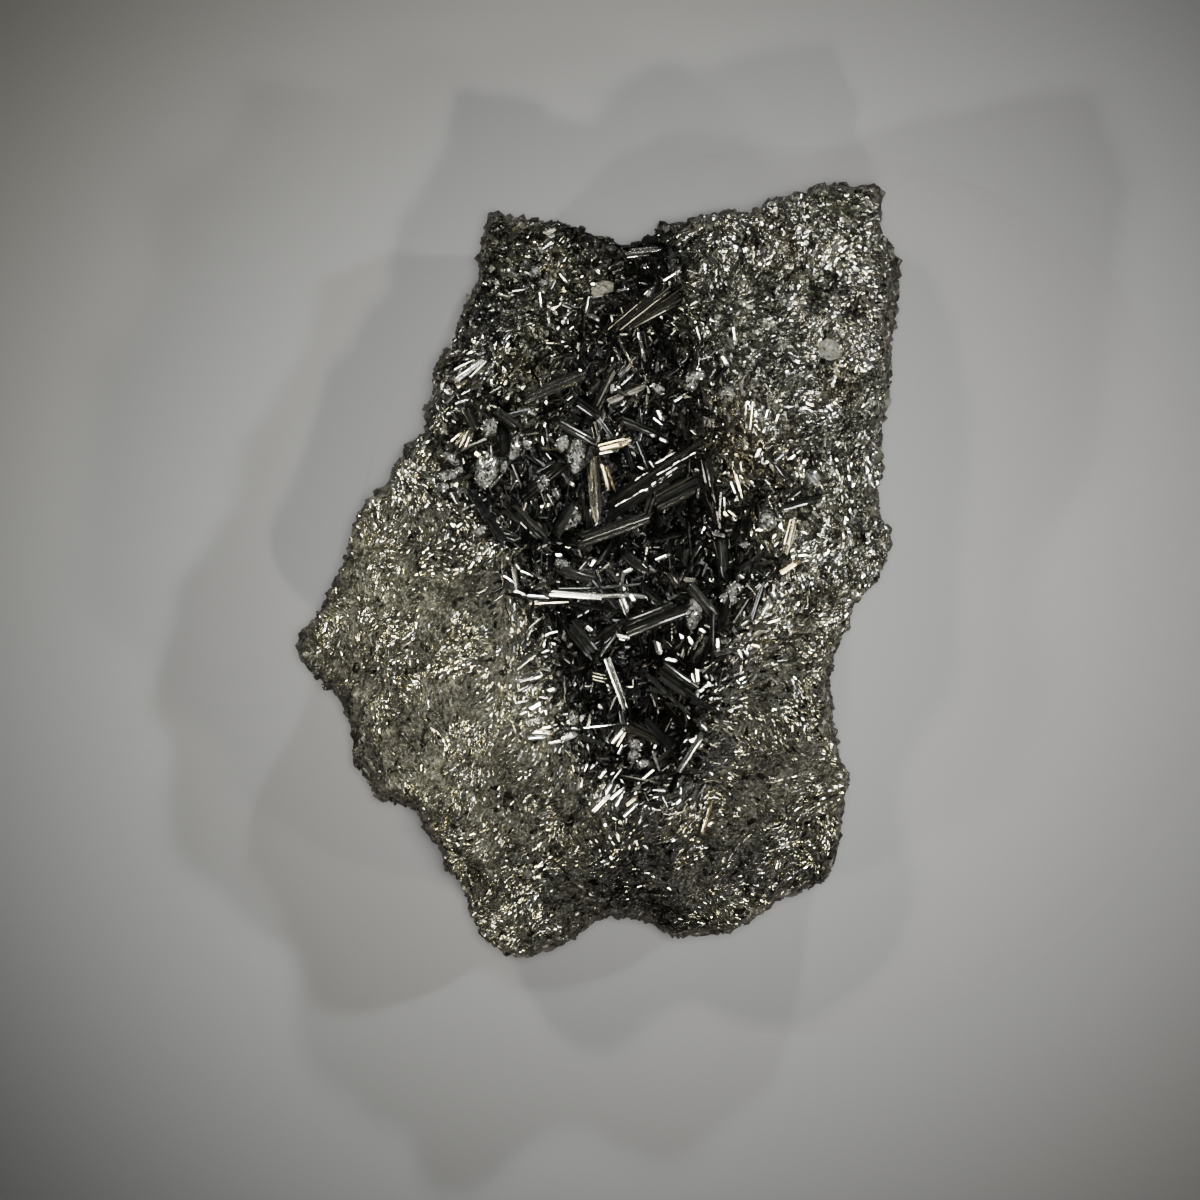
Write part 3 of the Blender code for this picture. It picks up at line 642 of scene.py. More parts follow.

# %% [markdown]
# ## Gleams
# Most bright marks in the hollow are short blades and broken faces that happen to mirror a lamp. They are
# placed on the plan alone: each lies on the highest ground below it, tilted just so far that its face can
# look half way to a lamp. The broad dull faces between them are placed in the same way, but look past the
# lamps.
# Close up, such a broad crystal is a bundle of laths grown side by side, so each is split into strips that
# differ a little in their ends, their level and their tint.

# %% Short blades, one by one
# Each row is a blade as (x, y) of its two ends and its width, with its height where it isn't on the ground.
WHITE_GLEAMS = [
    (-4.75, -2.35, 0.3, -2.7, 0.7, 24.2), (0.1, -2.62, 2.9, -2.5, 0.42, 23.7),
    (-8.3, -2.1, -7.1, -2.6, 0.32), (-7.1, -2.6, -5.0, -2.75, 0.36, 24.6), (-7.0, -3.05, -5.9, -3.2, 0.25),
    (2.45, -2.8, 2.95, -4.2, 0.5, 23.6), (3.2, -2.6, 3.6, -3.2, 0.45, 23.4),
    (2.1, -3.0, 2.7, -4.5, 0.15, 23.5), (-0.45, 4.4, 0.15, 5.0, 0.16),
    (-4.5, 8.2, -4.0, 7.2, 0.55), (-2.9, 8.8, -2.4, 8.5, 0.4), (6.05, 16.0, 6.5, 15.0, 0.55),
    (5.5, 15.3, 6.4, 14.6, 0.16), (5.2, 13.8, 5.6, 13.4, 0.42), (6.2, 13.2, 7.0, 12.9, 0.45),
    (5.1, 10.9, 5.5, 10.3, 0.2, 20.3), (4.0, 10.3, 4.6, 10.1, 0.22, 19.5), (6.0, 6.5, 6.2, 6.0, 0.25),
    (1.9, 5.4, 2.4, 5.0, 0.35), (-5.7, 13.5, -5.5, 12.5, 0.2), (-4.0, 13.5, -3.5, 13.5, 0.2),
    (-2.2, 13.3, -1.6, 13.1, 0.2), (14.7, 16.7, 14.6, 15.0, 0.3), (15.7, 15.8, 15.6, 15.1, 0.2),
    (11.7, 11.8, 12.1, 10.9, 0.22), (13.3, 8.8, 14.0, 7.0, 0.26), (10.1, 8.3, 9.9, 7.0, 0.3),
    (9.1, 6.3, 10.1, 6.2, 0.32), (12.3, 7.8, 12.1, 5.2, 0.28), (10.4, 3.7, 10.8, 4.5, 0.25),
    (15.8, 4.1, 16.6, 4.0, 0.5), (15.2, 8.8, 15.7, 8.4, 0.35), (16.9, 15.9, 16.6, 14.9, 0.25),
    (17.9, 15.5, 17.6, 14.6, 0.28), (1.9, -0.5, 4.2, 0.6, 0.2), (-0.75, 0.4, -0.3, 1.1, 0.38),
    (-1.9, -0.7, -0.8, -0.4, 0.4), (-5.2, 1.1, -5.2, 0.5, 0.22), (-5.2, 0.3, -5.2, -0.1, 0.2),
    (-4.3, 1.5, -3.6, 1.5, 0.45), (-8.2, 0.5, -7.8, 0.0, 0.2), (-7.8, -0.1, -6.6, -0.6, 0.22),
    (-9.4, -0.6, -8.4, -1.3, 0.24), (-4.4, -4.4, -4.0, -4.2, 0.35), (-5.2, -6.5, -4.1, -6.1, 0.25),
    (-5.0, -5.6, -4.7, -6.1, 0.2), (-1.2, -5.7, -0.7, -6.1, 0.5), (2.0, -6.7, 3.1, -6.95, 0.75),
    (2.7, -7.8, 3.2, -7.7, 0.3), (-8.1, -4.8, -7.9, -5.8, 0.2), (4.4, -0.1, 4.8, -0.3, 0.35),
    (5.2, 0.2, 5.7, -0.2, 0.3), (10.2, -5.9, 10.7, -6.3, 0.42), (9.0, -6.8, 9.5, -7.5, 0.42),
    (8.2, -6.6, 8.6, -6.8, 0.42), (5.9, -7.2, 6.2, -8.5, 0.7), (11.9, -6.9, 12.0, -8.0, 0.42),
    (14.1, -0.5, 14.5, -0.9, 0.42), (14.3, -5.6, 15.0, -5.0, 0.22), (14.0, -8.0, 14.4, -9.0, 0.4),
    (14.7, -8.1, 15.0, -8.6, 0.4), (13.6, -10.5, 14.5, -10.2, 0.26), (14.1, -11.0, 14.8, -10.6, 0.26),
    (13.8, -11.0, 14.2, -11.5, 0.18), (11.6, 1.4, 12.1, 1.3, 0.25), (11.1, 2.9, 11.5, 2.9, 0.3),
    (11.35, -2.4, 11.5, -2.7, 0.26), (4.4, -4.0, 4.4, -4.6, 0.25), (4.9, -4.5, 5.1, -4.9, 0.25),
    (5.7, -4.1, 6.1, -4.1, 0.3), (4.9, -2.9, 5.6, -3.4, 0.25), (2.8, -13.5, 3.1, -14.1, 0.3),
    (-1.25, -8.3, -0.65, -9.0, 0.25), (-5.1, -9.3, -4.7, -9.6, 0.25), (1.0, -11.6, 1.1, -12.3, 0.35),
    (4.0, -11.45, 4.8, -11.3, 0.2), (3.4, -12.7, 3.9, -12.7, 0.22), (0.0, -13.6, 0.4, -14.0, 0.45),
    (-0.65, -14.0, -0.6, -14.4, 0.25), (-3.7, -16.9, -2.2, -16.3, 0.8), (-4.9, -17.3, -3.5, -17.05, 0.35),
    (-3.3, -15.85, -1.8, -15.9, 0.3), (-5.0, -12.1, -4.2, -11.85, 0.5), (-5.7, -12.6, -5.0, -12.8, 0.35),
    (-5.3, -14.0, -5.2, -14.5, 0.2), (-3.7, -13.2, -4.0, -14.0, 0.25), (-5.6, -15.8, -4.5, -15.6, 0.28),
    (-7.6, -18.0, -8.0, -19.0, 0.4), (-4.6, -7.3, -4.2, -7.5, 0.35), (-5.6, -8.3, -4.9, -8.0, 0.25),
    (-8.1, -9.9, -6.4, -8.5, 0.24), (-7.7, -12.1, -6.6, -11.5, 0.4), (-8.3, -13.3, -7.0, -13.0, 0.3),
    (-6.8, -13.9, -5.6, -13.2, 0.6), (-7.8, -14.4, -7.0, -14.0, 0.3), (-6.4, -16.2, -5.3, -16.2, 0.45),
    (-7.0, -16.8, -5.3, -16.6, 0.45), (6.9, -8.9, 8.1, -9.2, 0.5), (8.0, -9.2, 8.2, -9.8, 0.3),
    (6.5, -12.4, 6.8, -12.8, 0.25), (10.3, -15.6, 10.9, -16.1, 0.24), (8.9, -14.6, 9.3, -15.0, 0.2),
    (8.9, -13.6, 9.2, -14.0, 0.2), (9.4, -10.4, 9.7, -11.5, 0.4), (10.6, -10.5, 10.9, -10.9, 0.3),
    (10.9, -11.2, 11.3, -11.7, 0.25), (-0.5, -24.1, 1.0, -22.6, 0.4), (0.6, -22.9, 1.2, -22.5, 0.6),
    (1.2, -22.9, 2.6, -21.7, 0.28), (0.7, -22.3, 1.4, -21.2, 0.5), (0.1, -20.8, 0.8, -19.9, 0.42),
    (2.5, -24.6, 3.9, -23.3, 0.38), (6.4, -22.6, 6.9, -23.8, 0.2), (-0.8, -19.8, -0.4, -19.4, 0.28),
    (-1.4, -20.0, -1.1, -19.3, 0.28), (4.3, -19.5, 5.2, -19.3, 0.42), (1.4, -24.8, 1.8, -25.0, 0.22),
    (4.6, -27.7, 5.0, -28.0, 0.35), (1.2, -28.7, 1.3, -29.1, 0.3), (11.1, -20.2, 11.4, -20.5, 0.32),
    (-1.0, 27.4, -1.3, 25.8, 0.2), (-0.2, 30.1, 0.2, 29.7, 0.3), (-3.8, 30.2, -3.3, 29.5, 0.25),
    (-3.9, 29.7, -3.0, 28.7, 0.32), (-5.9, 27.8, -5.7, 26.3, 0.25), (-5.0, 25.5, -5.0, 24.4, 0.35),
    (-3.5, 25.6, -3.3, 25.2, 0.4), (-4.1, 24.5, -4.0, 24.1, 0.35), (2.3, 29.5, 2.5, 29.2, 0.35),
    (3.7, 29.7, 3.7, 29.3, 0.3), (1.45, 21.4, 1.3, 20.9, 0.25), (-1.9, 20.2, -1.7, 19.7, 0.35),
    (4.8, 27.5, 5.6, 28.2, 0.55), (4.6, 27.2, 4.8, 27.4, 0.3), (6.5, 28.9, 8.1, 29.9, 0.22),
    (6.2, 25.4, 6.5, 25.2, 0.3), (7.5, 24.9, 8.0, 24.7, 0.3), (6.6, 24.6, 7.2, 24.4, 0.2),
    (10.3, 24.7, 11.1, 23.9, 0.22), (12.4, 21.3, 12.9, 20.3, 0.5), (13.5, 19.9, 13.9, 19.5, 0.3),
    (13.4, 24.2, 13.6, 22.5, 0.3), (11.5, 20.6, 11.6, 20.4, 0.26), (9.85, 20.4, 9.8, 20.0, 0.25),
    (6.6, 17.0, 7.0, 16.5, 0.5), (7.0, 23.2, 7.2, 23.4, 0.25), (1.9, 18.5, 2.2, 18.3, 0.25),
    (-14.2, 18.9, -11.0, 21.3, 0.55), (-12.8, 19.2, -11.2, 20.8, 0.22), (-15.3, 18.0, -14.7, 17.5, 0.5),
    (-14.3, 16.6, -12.9, 17.1, 0.3), (-15.1, 15.5, -14.8, 15.7, 0.3), (-9.6, 20.1, -9.3, 19.7, 0.5),
    (-8.9, 20.6, -8.7, 20.3, 0.35), (-8.2, 18.6, -8.0, 18.2, 0.35), (-10.7, 19.0, -10.7, 18.5, 0.25),
    (-5.3, 17.0, -5.1, 16.6, 0.35), (-6.2, 17.1, -6.1, 16.8, 0.3), (-5.5, 14.8, -5.3, 14.5, 0.42),
    (-13.7, 5.9, -12.7, 6.5, 0.22), (-14.1, 4.3, -13.5, 4.7, 0.25), (-14.6, 4.6, -14.3, 4.2, 0.42),
    (-12.2, 7.2, -11.8, 7.6, 0.2), (-13.2, 2.9, -12.4, 2.4, 0.22), (-14.6, 3.1, -14.3, 2.9, 0.4),
    (18.1, 4.6, 18.2, 4.0, 0.4), (17.4, 3.2, 17.8, 3.6, 0.26), (17.6, 2.4, 18.0, 2.9, 0.24),
    (16.2, 2.4, 16.4, 2.1, 0.35), (15.3, -0.4, 15.5, -0.9, 0.22), (15.9, -0.1, 15.8, -0.5, 0.22),
    (17.3, -2.2, 17.8, -2.8, 0.5), (16.3, -4.5, 17.2, -3.0, 0.65), (21.9, 3.6, 23.2, 2.9, 0.32),
    (20.3, 3.9, 20.9, 3.6, 0.35), (20.0, 1.4, 21.0, 1.5, 0.3), (21.2, 0.7, 21.8, 0.7, 0.3),
    (2.9, 31.3, 5.2, 31.55, 0.14), (4.55, 30.3, 5.0, 30.35, 0.55),
    (-14.4, 20.0, -12.6, 20.9, 0.16), (-13.6, 17.6, -12.4, 18.2, 0.2), (-12.4, 18.1, -11.5, 18.9, 0.2),
]
CREAM_GLEAMS = [
    (-7.5, -3.4, -3.0, -3.2, 0.15, 24.4), (-5.8, 6.3, -4.7, 6.6, 0.4), (15.4, 16.8, 15.1, 14.0, 0.16),
    (13.6, 13.9, 13.4, 12.9, 0.2), (16.3, 12.9, 16.6, 12.0, 0.2), (14.2, 10.7, 14.4, 9.7, 0.22),
    (12.6, 5.8, 12.9, 5.3, 0.35), (15.3, -7.5, 16.4, -7.8, 0.4), (-0.65, -10.3, 0.7, -10.6, 0.14, 16.5),
    (-0.65, -10.65, 0.75, -10.95, 0.14, 16.5), (-0.6, -11.0, 0.7, -11.3, 0.14, 16.5),
    (1.9, -17.7, 2.7, -16.3, 0.22), (-5.9, -16.0, -4.5, -16.3, 0.4), (-8.7, -14.2, -8.0, -13.8, 0.25),
    (-5.3, -13.3, -4.9, -12.9, 0.25), (-8.7, -15.0, -8.1, -16.7, 0.3), (5.5, -20.0, 3.9, -21.4, 0.22),
    (6.0, -12.9, 7.1, -13.5, 0.16), (9.9, -10.0, 10.0, -11.5, 0.4), (2.8, -23.5, 3.9, -22.7, 0.45),
    (3.8, -27.1, 4.0, -27.9, 0.16), (0.3, 24.3, 0.8, 24.2, 0.3), (-5.4, 22.7, -4.2, 22.7, 0.16),
    (2.8, 24.4, 3.4, 24.8, 0.2), (-14.1, 18.2, -13.1, 18.9, 0.35), (-14.7, 12.9, -13.7, 13.7, 0.2),
    (-14.3, 12.5, -13.3, 13.8, 0.3), (-13.8, 12.3, -13.0, 13.9, 0.3), (-13.3, 12.3, -12.8, 13.6, 0.2),
    (-12.3, 11.7, -11.8, 11.3, 0.65), (-6.4, 13.4, -6.1, 12.9, 0.25), (16.9, -3.8, 17.4, -3.4, 0.4),
    (12.6, 7.8, 12.7, 6.0, 0.25), (13.6, 10.0, 14.4, 7.2, 0.3),
]
PEARL_GLEAMS = [
    (11.4, 3.7, 12.7, 3.4, 0.4), (1.9, -0.8, 3.8, 0.2, 0.2), (-0.2, 0.0, 0.35, -1.4, 0.25),
    (-7.0, -5.9, -5.5, -4.6, 0.14), (-2.1, -4.7, -1.0, -4.1, 0.16), (5.8, 1.0, 7.2, 1.6, 0.4),
    (14.4, 2.7, 15.1, 2.2, 0.8), (13.4, -5.8, 14.1, -6.8, 0.42), (10.2, 0.8, 10.9, 0.5, 0.35),
    (6.9, -2.1, 7.1, -3.0, 0.35), (6.15, -5.6, 6.2, -5.9, 0.35), (-0.55, -11.3, -0.8, -12.3, 0.16),
    (6.0, -16.6, 5.6, -17.9, 0.35), (5.4, -18.1, 6.1, -20.1, 0.28), (6.5, -17.2, 6.7, -18.3, 0.2),
    (2.3, -19.9, 1.4, -21.1, 0.18), (-7.9, -11.1, -5.8, -10.6, 0.45), (-7.2, -15.3, -5.4, -14.9, 0.85),
    (-3.0, -7.8, -2.7, -7.3, 0.35), (5.2, -21.1, 6.0, -21.2, 0.25), (8.2, -21.8, 8.2, -22.4, 0.2),
    (0.5, -24.8, 0.7, -25.6, 0.35), (1.6, 28.0, 3.0, 28.3, 0.25), (0.6, 27.6, -0.9, 27.4, 0.16),
    (-0.9, 25.7, 0.1, 25.1, 0.5), (-4.6, 26.0, -4.1, 25.6, 0.3), (-6.0, 24.0, -5.6, 22.8, 0.16),
    (11.9, 24.7, 11.6, 23.9, 0.25), (12.8, 23.4, 13.3, 22.2, 0.25), (7.6, 16.9, 9.0, 17.8, 0.22),
    (6.3, 20.2, 6.6, 20.8, 0.2), (2.3, 18.6, 3.5, 19.7, 0.2), (5.2, 18.4, 5.7, 18.8, 0.2),
    (-15.2, 16.6, -14.5, 17.4, 0.3), (-13.2, 12.3, -12.4, 14.0, 0.3), (-7.6, 16.2, -7.2, 14.6, 0.3),
    (-8.0, 13.7, -7.6, 13.4, 0.25), (-12.7, 6.4, -11.2, 7.1, 0.3), (-10.9, 8.2, -9.6, 9.6, 0.25),
    (-14.1, 8.3, -13.8, 7.3, 0.3), (18.2, -1.5, 18.7, -1.1, 0.4), (20.4, 0.8, 21.2, -0.4, 0.16),
    (2.7, 31.6, 6.2, 32.0, 0.3), (3.2, 32.0, 6.0, 32.25, 0.18),
]
BROAD_FACES = [
    (0.6, 23.6, 5.2, 27.5, 0.9), (1.2, 23.6, 6.6, 27.9, 0.9), (1.9, 23.9, 7.7, 28.5, 0.8),
    (2.8, 24.2, 8.3, 27.9, 0.8), (3.6, 24.4, 8.5, 27.0, 0.7), (4.6, 25.0, 7.6, 26.3, 0.6),
    (-4.4, 15.0, 0.2, 12.5, 0.8), (-2.3, 17.0, 0.3, 15.2, 1.2), (2.2, 15.2, 6.2, 13.6, 0.8),
    (3.9, 13.0, 5.0, 10.2, 0.5), (10.6, 11.5, 11.3, 8.0, 1.2), (5.5, 6.6, 10.2, 9.0, 2.2),
    (2.5, -6.0, 8.6, -3.6, 2.2), (6.0, -9.8, 10.0, -12.6, 2.0), (-3.8, 21.4, -2.2, 21.5, 0.8),
    (-10.2, 3.6, -8.2, 3.1, 0.8), (6.9, -0.2, 8.1, -1.8, 0.75), (4.2, -1.4, 6.4, -3.3, 0.8),
    (8.8, 2.2, 8.5, 0.1, 0.75), (9.4, 1.2, 10.5, 3.0, 0.6), (-3.9, -8.7, -2.1, -10.0, 0.5),
    (-4.9, -10.2, -3.5, -11.2, 0.35), (-3.0, -5.5, -0.5, -8.5, 1.8), (2.5, 1.7, 5.0, -0.3, 1.2),
    (12.4, 3.0, 12.7, -1.5, 0.9), (-13.3, 16.2, -12.2, 13.8, 1.0), (-10.5, 16.0, -7.8, 14.0, 1.2),
    (-0.5, -1.0, -4.5, 0.2, 1.1), (-8.5, 6.0, -5.5, 3.0, 1.4), (9.0, -1.5, 12.0, -5.0, 1.0),
    (3.0, -15.5, 7.0, -17.5, 1.2), (7.5, -18.0, 4.5, -15.0, 0.9), (-2.5, 7.0, -4.5, 3.0, 1.0),
    (18.4, 6.2, 22.4, 7.3, 0.9), (18.8, 7.0, 20.6, 8.3, 0.5), (17.4, 10.9, 19.0, 8.9, 0.6),
]
# Bright streaks along the broadest blade, as (x, y) of the two ends, the width and the number of dashes.
STREAKS = [
    (1.65, 6.4, 4.8, 8.2, 0.1, 5), (4.7, 8.05, 8.1, 10.4, 0.13, 5), (4.8, 7.9, 7.6, 9.75, 0.08, 4),
    (5.9, 9.6, 9.9, 11.9, 0.1, 5), (5.8, 10.7, 7.6, 11.7, 0.16, 2), (3.6, 9.0, 5.1, 9.9, 0.12, 2),
]
# The two bright edges of the twin blade, as gleams are given.
TWIN_EDGES = [(0.62, -9.0, 2.45, -13.9, 0.18, 18.75), (1.02, -9.1, 2.8, -13.5, 0.18, 18.75)]
# Round clusters of crystals, as (x, y, long radius, short radius, turn in degrees).
NODULES = [
    (-11.3, 10.0, 1.8, 1.1, 80), (-10.9, 14.3, 0.8, 0.7, 60), (-8.4, 12.2, 1.2, 0.55, 80),
    (-7.2, 12.6, 0.6, 0.35, -60), (-2.3, 11.4, 1.7, 0.75, 85), (-3.6, 12.7, 0.8, 0.55, 80),
    (-2.9, 5.2, 1.1, 0.9, 60), (-3.6, 0.5, 0.8, 0.5, -20), (9.6, -4.2, 1.7, 0.75, 80),
    (13.6, -1.9, 0.75, 0.65, 30), (13.0, -2.9, 0.9, 0.55, -20), (9.8, 19.4, 1.2, 0.5, 15),
    (9.3, 18.4, 0.6, 0.45, 30), (12.8, 17.6, 0.8, 0.7, 0), (-14.7, 11.1, 0.9, 0.38, -35),
    (-15.4, 9.4, 0.5, 0.42, 0), (-14.6, 9.5, 0.45, 0.4, 40), (-15.6, 8.3, 0.6, 0.4, 10),
    (-14.0, 9.9, 0.5, 0.35, 20), (-5.6, 8.7, 0.8, 0.5, 70), (-9.5, 10.3, 0.6, 0.32, 80),
    (3.7, -17.5, 0.8, 0.55, -30), (3.5, -18.6, 0.5, 0.5, 0), (4.4, -19.4, 0.6, 0.4, 20),
    (-2.6, -14.8, 0.7, 0.5, 80), (16.9, 5.0, 1.0, 0.8, 110), (-6.4, 29.8, 0.55, 0.45, 40),
    (21.4, 9.2, 0.9, 0.6, -50), (-12.0, 3.9, 0.6, 0.5, 30),
    (-5.5, 28.7, 0.4, 0.35, 0), (6.2, 18.1, 0.8, 0.4, -30),
]
print("gleams:", len(WHITE_GLEAMS) + len(CREAM_GLEAMS) + len(PEARL_GLEAMS), "and nodules:", len(NODULES))


# %% From rows to blades
LIFT = 0.28  # how far a gleam's middle is over the highest ground below it
FLATNESS, THICKEST = 0.6, 0.45  # its thickness as a share of its width, and at most in mm


def over_plank(x, y):
    """The height just over the broadest blade, which rises to the right and to the top."""
    return 14.3 + 0.65 * (x - 0.3) + 0.433 * (y - 5.6)


def laid(looks, tint, x0, y0, x1, y1, width, level=None):
    """A blade between two points of the plan, tilted so that its broad face can look one way."""
    if level is None:
        middle = (x0 + x1) / 2, (y0 + y1) / 2
        level = max(over_bed(x, y, LIFT).z for x, y in ((x0, y0), middle, (x1, y1)))
    rise = -(looks.x * (x1 - x0) + looks.y * (y1 - y0)) / looks.z / 2
    thickness = min(FLATNESS * width, THICKEST)
    return (x0, y0, level - rise), (x1, y1, level + rise), width, thickness, tint, looks


DASH_START, DASH_END, DASH_STRAY = (-0.1, 0.1), (0.8, 1.2), 0.06

own = random.Random(SEED)
# Two white gleams in three mirror the lamp that suits them best, and the third one mirrors each lamp in turn.
for number, row in enumerate(WHITE_GLEAMS):
    looks = LIT if number % 3 else FLASHES[number // 3 % len(FLASHES)]
    BLADES.append(laid(looks, WHITE, *row))
for looks, tint, rows in ((LIT, CREAM, CREAM_GLEAMS), (SKY, PEARL, PEARL_GLEAMS), (AWAY, SHADE, BROAD_FACES)):
    BLADES += [laid(looks, tint, *row) for row in rows]
for x0, y0, x1, y1, width, dashes in STREAKS:
    for dash in range(dashes):
        shares = [(dash + own.uniform(*ends)) / dashes for ends in (DASH_START, DASH_END)]
        (xa, ya), (xb, yb) = [
            (x0 + share * (x1 - x0), y0 + share * (y1 - y0) + own.uniform(-DASH_STRAY, DASH_STRAY))
            for share in shares
        ]
        tint = own.choice([WHITE, STEEL, PEARL])
        BLADES.append(laid(LIT, tint, xa, ya, xb, yb, width, over_plank(xa, ya)))
BLADES += [laid(LIT, WHITE, *row) for row in TWIN_EDGES]
print("blades:", len(BLADES))


# %% Bundles of laths
FIRST_LAMP = 0.15  # how much the wide box is preferred to the others
TURNS = range(-35, 36, 5)  # the degrees that a dull face may roll to look past the lamps


def looking(root, tip, looks):
    """The way that a blade's face can look: at the lamp it mirrors best, or where it mirrors none."""
    along = (Vector(tip) - Vector(root)).normalized()
    if looks is LIT:
        return min(FLASHES, key=lambda flash: abs(flash.dot(along)) + FIRST_LAMP * (flash is not LIT))
    if looks is not AWAY:
        return looks
    over = (AWAY - along * AWAY.dot(along)).normalized()
    rolled = [Matrix.Rotation(math.radians(turn), 3, along) @ over for turn in TURNS]
    return max(rolled, key=lambda look: min(look.angle(flash) for flash in [*FLASHES, POOL_LOOK]))


STRIP_WIDTH, STRIP_OVERLAP, STRIP_STEP = 0.45, 1.2, 0.08
STRIP_START, STRIP_END = (0, 0.15), (0.8, 1)  # where a strip's two ends lie along the crystal
STRIP_TINTS = [SHADE, ASH, DARK, BRONZE, ASH]


def strips_of(root, tip, width, thickness, tint, looks):
    """A broad dull crystal as laths grown side by side, each with its own ends, level and tint."""
    look = looking(root, tip, looks)
    count = round(width / STRIP_WIDTH) if looks is AWAY else 1
    if count < 2:
        return [(root, tip, width, thickness, tint, look)]
    root, tip = Vector(root), Vector(tip)
    across = look.cross(tip - root).normalized() * width
    strip_width = STRIP_OVERLAP * width / count
    made = []
    for strip in range(count):
        off = across * ((strip + 0.5) / count - 0.5) + look * own.uniform(-STRIP_STEP, STRIP_STEP)
        start, end = [root.lerp(tip, own.uniform(*ends)) for ends in (STRIP_START, STRIP_END)]
        made.append((start + off, end + off, strip_width, thickness, own.choice(STRIP_TINTS), look))
    return made


BLADES = [strip for blade in BLADES for strip in strips_of(*blade)]
print("blades and strips of blades:", len(BLADES))


# %% Room for the large blades
BELOW = 0.6  # what lies this much lower than a blade doesn't hide it


def in_the_way(places, spare):
    """True for places that would hide a large blade from above: near it on the plan, and over it."""
    hides = np.zeros(len(places), bool)
    for root, tip, width, *_ in BLADES:
        run = np.subtract(tip, root)
        share = np.clip(((places - root)[:, :2] @ run[:2]) / (run[:2] @ run[:2]), 0, 1)
        off = places - root - share[:, None] * run
        hides |= (np.hypot(off[:, 0], off[:, 1]) < width / 2 + spare) & (off[:, 2] > -BELOW)
    for x, y, long_radius, *_ in NODULES:
        hides |= np.hypot(places[:, 0] - x, places[:, 1] - y) < long_radius + spare
    return hides


print("hidden sample:", in_the_way(np.array([[5.0, 9.0, 30.0], [20.0, 20.0, 25.0]]), 0.1))

# %% [markdown]
# ## Scattering grains
# Tens of thousands of grains would be slow to model one by one, and as instances they would be lost in the
# exported model. So one closed grain of 6 to 12 triangles is made with bmesh, and numpy repeats its corners
# with another place, size and turn for each, as one joined mesh. Places are drawn on the ground's triangles
# in proportion to their area.
#
# Fibrous ore grows in sheaves: neighbours run the same way and lean the same way, so a whole sheaf flashes
# at once. The way they run, their lean and their roll therefore all come from slow noise, with only a little
# of each grain's own.


# %% Grain shapes
SAME = 0.001  # points of a unit shape nearer than this are one


def shape_of(bm):
    """The corners and triangles of a small closed bmesh."""
    bmesh.ops.triangulate(bm, faces=bm.faces)
    bm.verts.index_update()
    corners = np.array([vert.co for vert in bm.verts])
    triangles = np.array([[vert.index for vert in face.verts] for face in bm.faces])
    bm.free()
    return corners, triangles


def block_shape(top_length, top_width, slant=0.0):
    """A unit block along X whose top is drawn in: to a ridge where its width is nothing."""
    bm = bmesh.new()
    bmesh.ops.create_cube(bm, size=1.0)
    for vert in bm.verts:
        if vert.co.z > 0:
            vert.co.x = vert.co.x * top_length + slant
            vert.co.y *= top_width
    bmesh.ops.remove_doubles(bm, verts=bm.verts, dist=SAME)
    return shape_of(bm)


def lath_shape(sides, slant=0.32):
    """A unit prism along X with a flat, many-sided section and slanting ends."""
    bm = bmesh.new()
    bmesh.ops.create_cone(bm, cap_ends=True, segments=sides, radius1=0.5, radius2=0.4, depth=1.0)
    bmesh.ops.rotate(bm, verts=bm.verts, cent=(0, 0, 0), matrix=Matrix.Rotation(math.pi / 2, 3, "Y"))
    for vert in bm.verts:
        vert.co.x += slant * math.copysign(vert.co.y, vert.co.x * vert.co.y) * 0.5
    return shape_of(bm)


def flake_shape():
    """A unit flat-topped flake that comes to a point below."""
    bm = bmesh.new()
    bmesh.ops.create_cone(bm, cap_ends=True, segments=4, radius1=0.0, radius2=0.7, depth=1.0)
    bmesh.ops.rotate(bm, verts=bm.verts, cent=(0, 0, 0), matrix=Matrix.Rotation(math.pi / 4, 3, "Z"))
    bmesh.ops.remove_doubles(bm, verts=bm.verts, dist=SAME)
    return shape_of(bm)


RIDGE, SLAB, FLAKE = block_shape(0.72, 0.0), block_shape(0.8, 0.6, 0.1), flake_shape()
LATH, BROAD = lath_shape(6), lath_shape(10)
for name, shape in (("ridge", RIDGE), ("slab", SLAB), ("flake", FLAKE), ("lath", LATH), ("broad", BROAD)):
    print(name, len(shape[1]), "triangles")


# %% Places and axes
FLASH_SHARES = [0.5, 0.1, 0.1, 0.1, 0.1, 0.1]  # how many of the lit grains mirror each lamp


def places_on(ground, count, weight, draw):
    """Points spread over the ground by area and weight, each with its normal."""
    share = ground.area * weight
    chosen = draw.choice(len(share), size=count, p=share / share.sum())
    a, b = draw.random((2, count, 1))
    a, b = np.where(a + b > 1, 1 - a, a), np.where(a + b > 1, 1 - b, b)
    first, second, third = (ground.corners[chosen, i] for i in range(3))
    return first + a * (second - first) + b * (third - first), ground.normal[chosen]


def unit(rows):
    """Rows of numbers as vectors of length 1."""
    return rows / np.maximum(np.linalg.norm(rows, axis=1), 1e-9)[:, None]


def swirl(points):
    """The way that the fibres run at points in mm, as unit vectors in space."""
    angle = np.radians(60 + 110 * noise_at(points, 15.0, 2.0) + 100 * noise_at(points, 3.6, 7.0))
    rise = 0.5 * noise_at(points, 3.0, 11.0)
    return unit(np.stack([np.cos(angle), np.sin(angle), rise], axis=1))


def glitter(points):
    """0 on the smooth patches of the face, 1 where sheaves of fibres break through it."""
    return np.clip(0.3 + 1.6 * noise_at(points, 4.5, 51.0) + 1.3 * noise_at(points, 1.5, 61.0), 0, 1)


SHARED, ALONE = 2.2, 0.5  # the weights of a sheaf's own lean and roll, and of each grain's
STEADY = 0.25  # a lit grain leans and rolls less, by this factor, so that it still mirrors its lamp
ROOTED = 0.12  # how much a lit grain still follows the ground


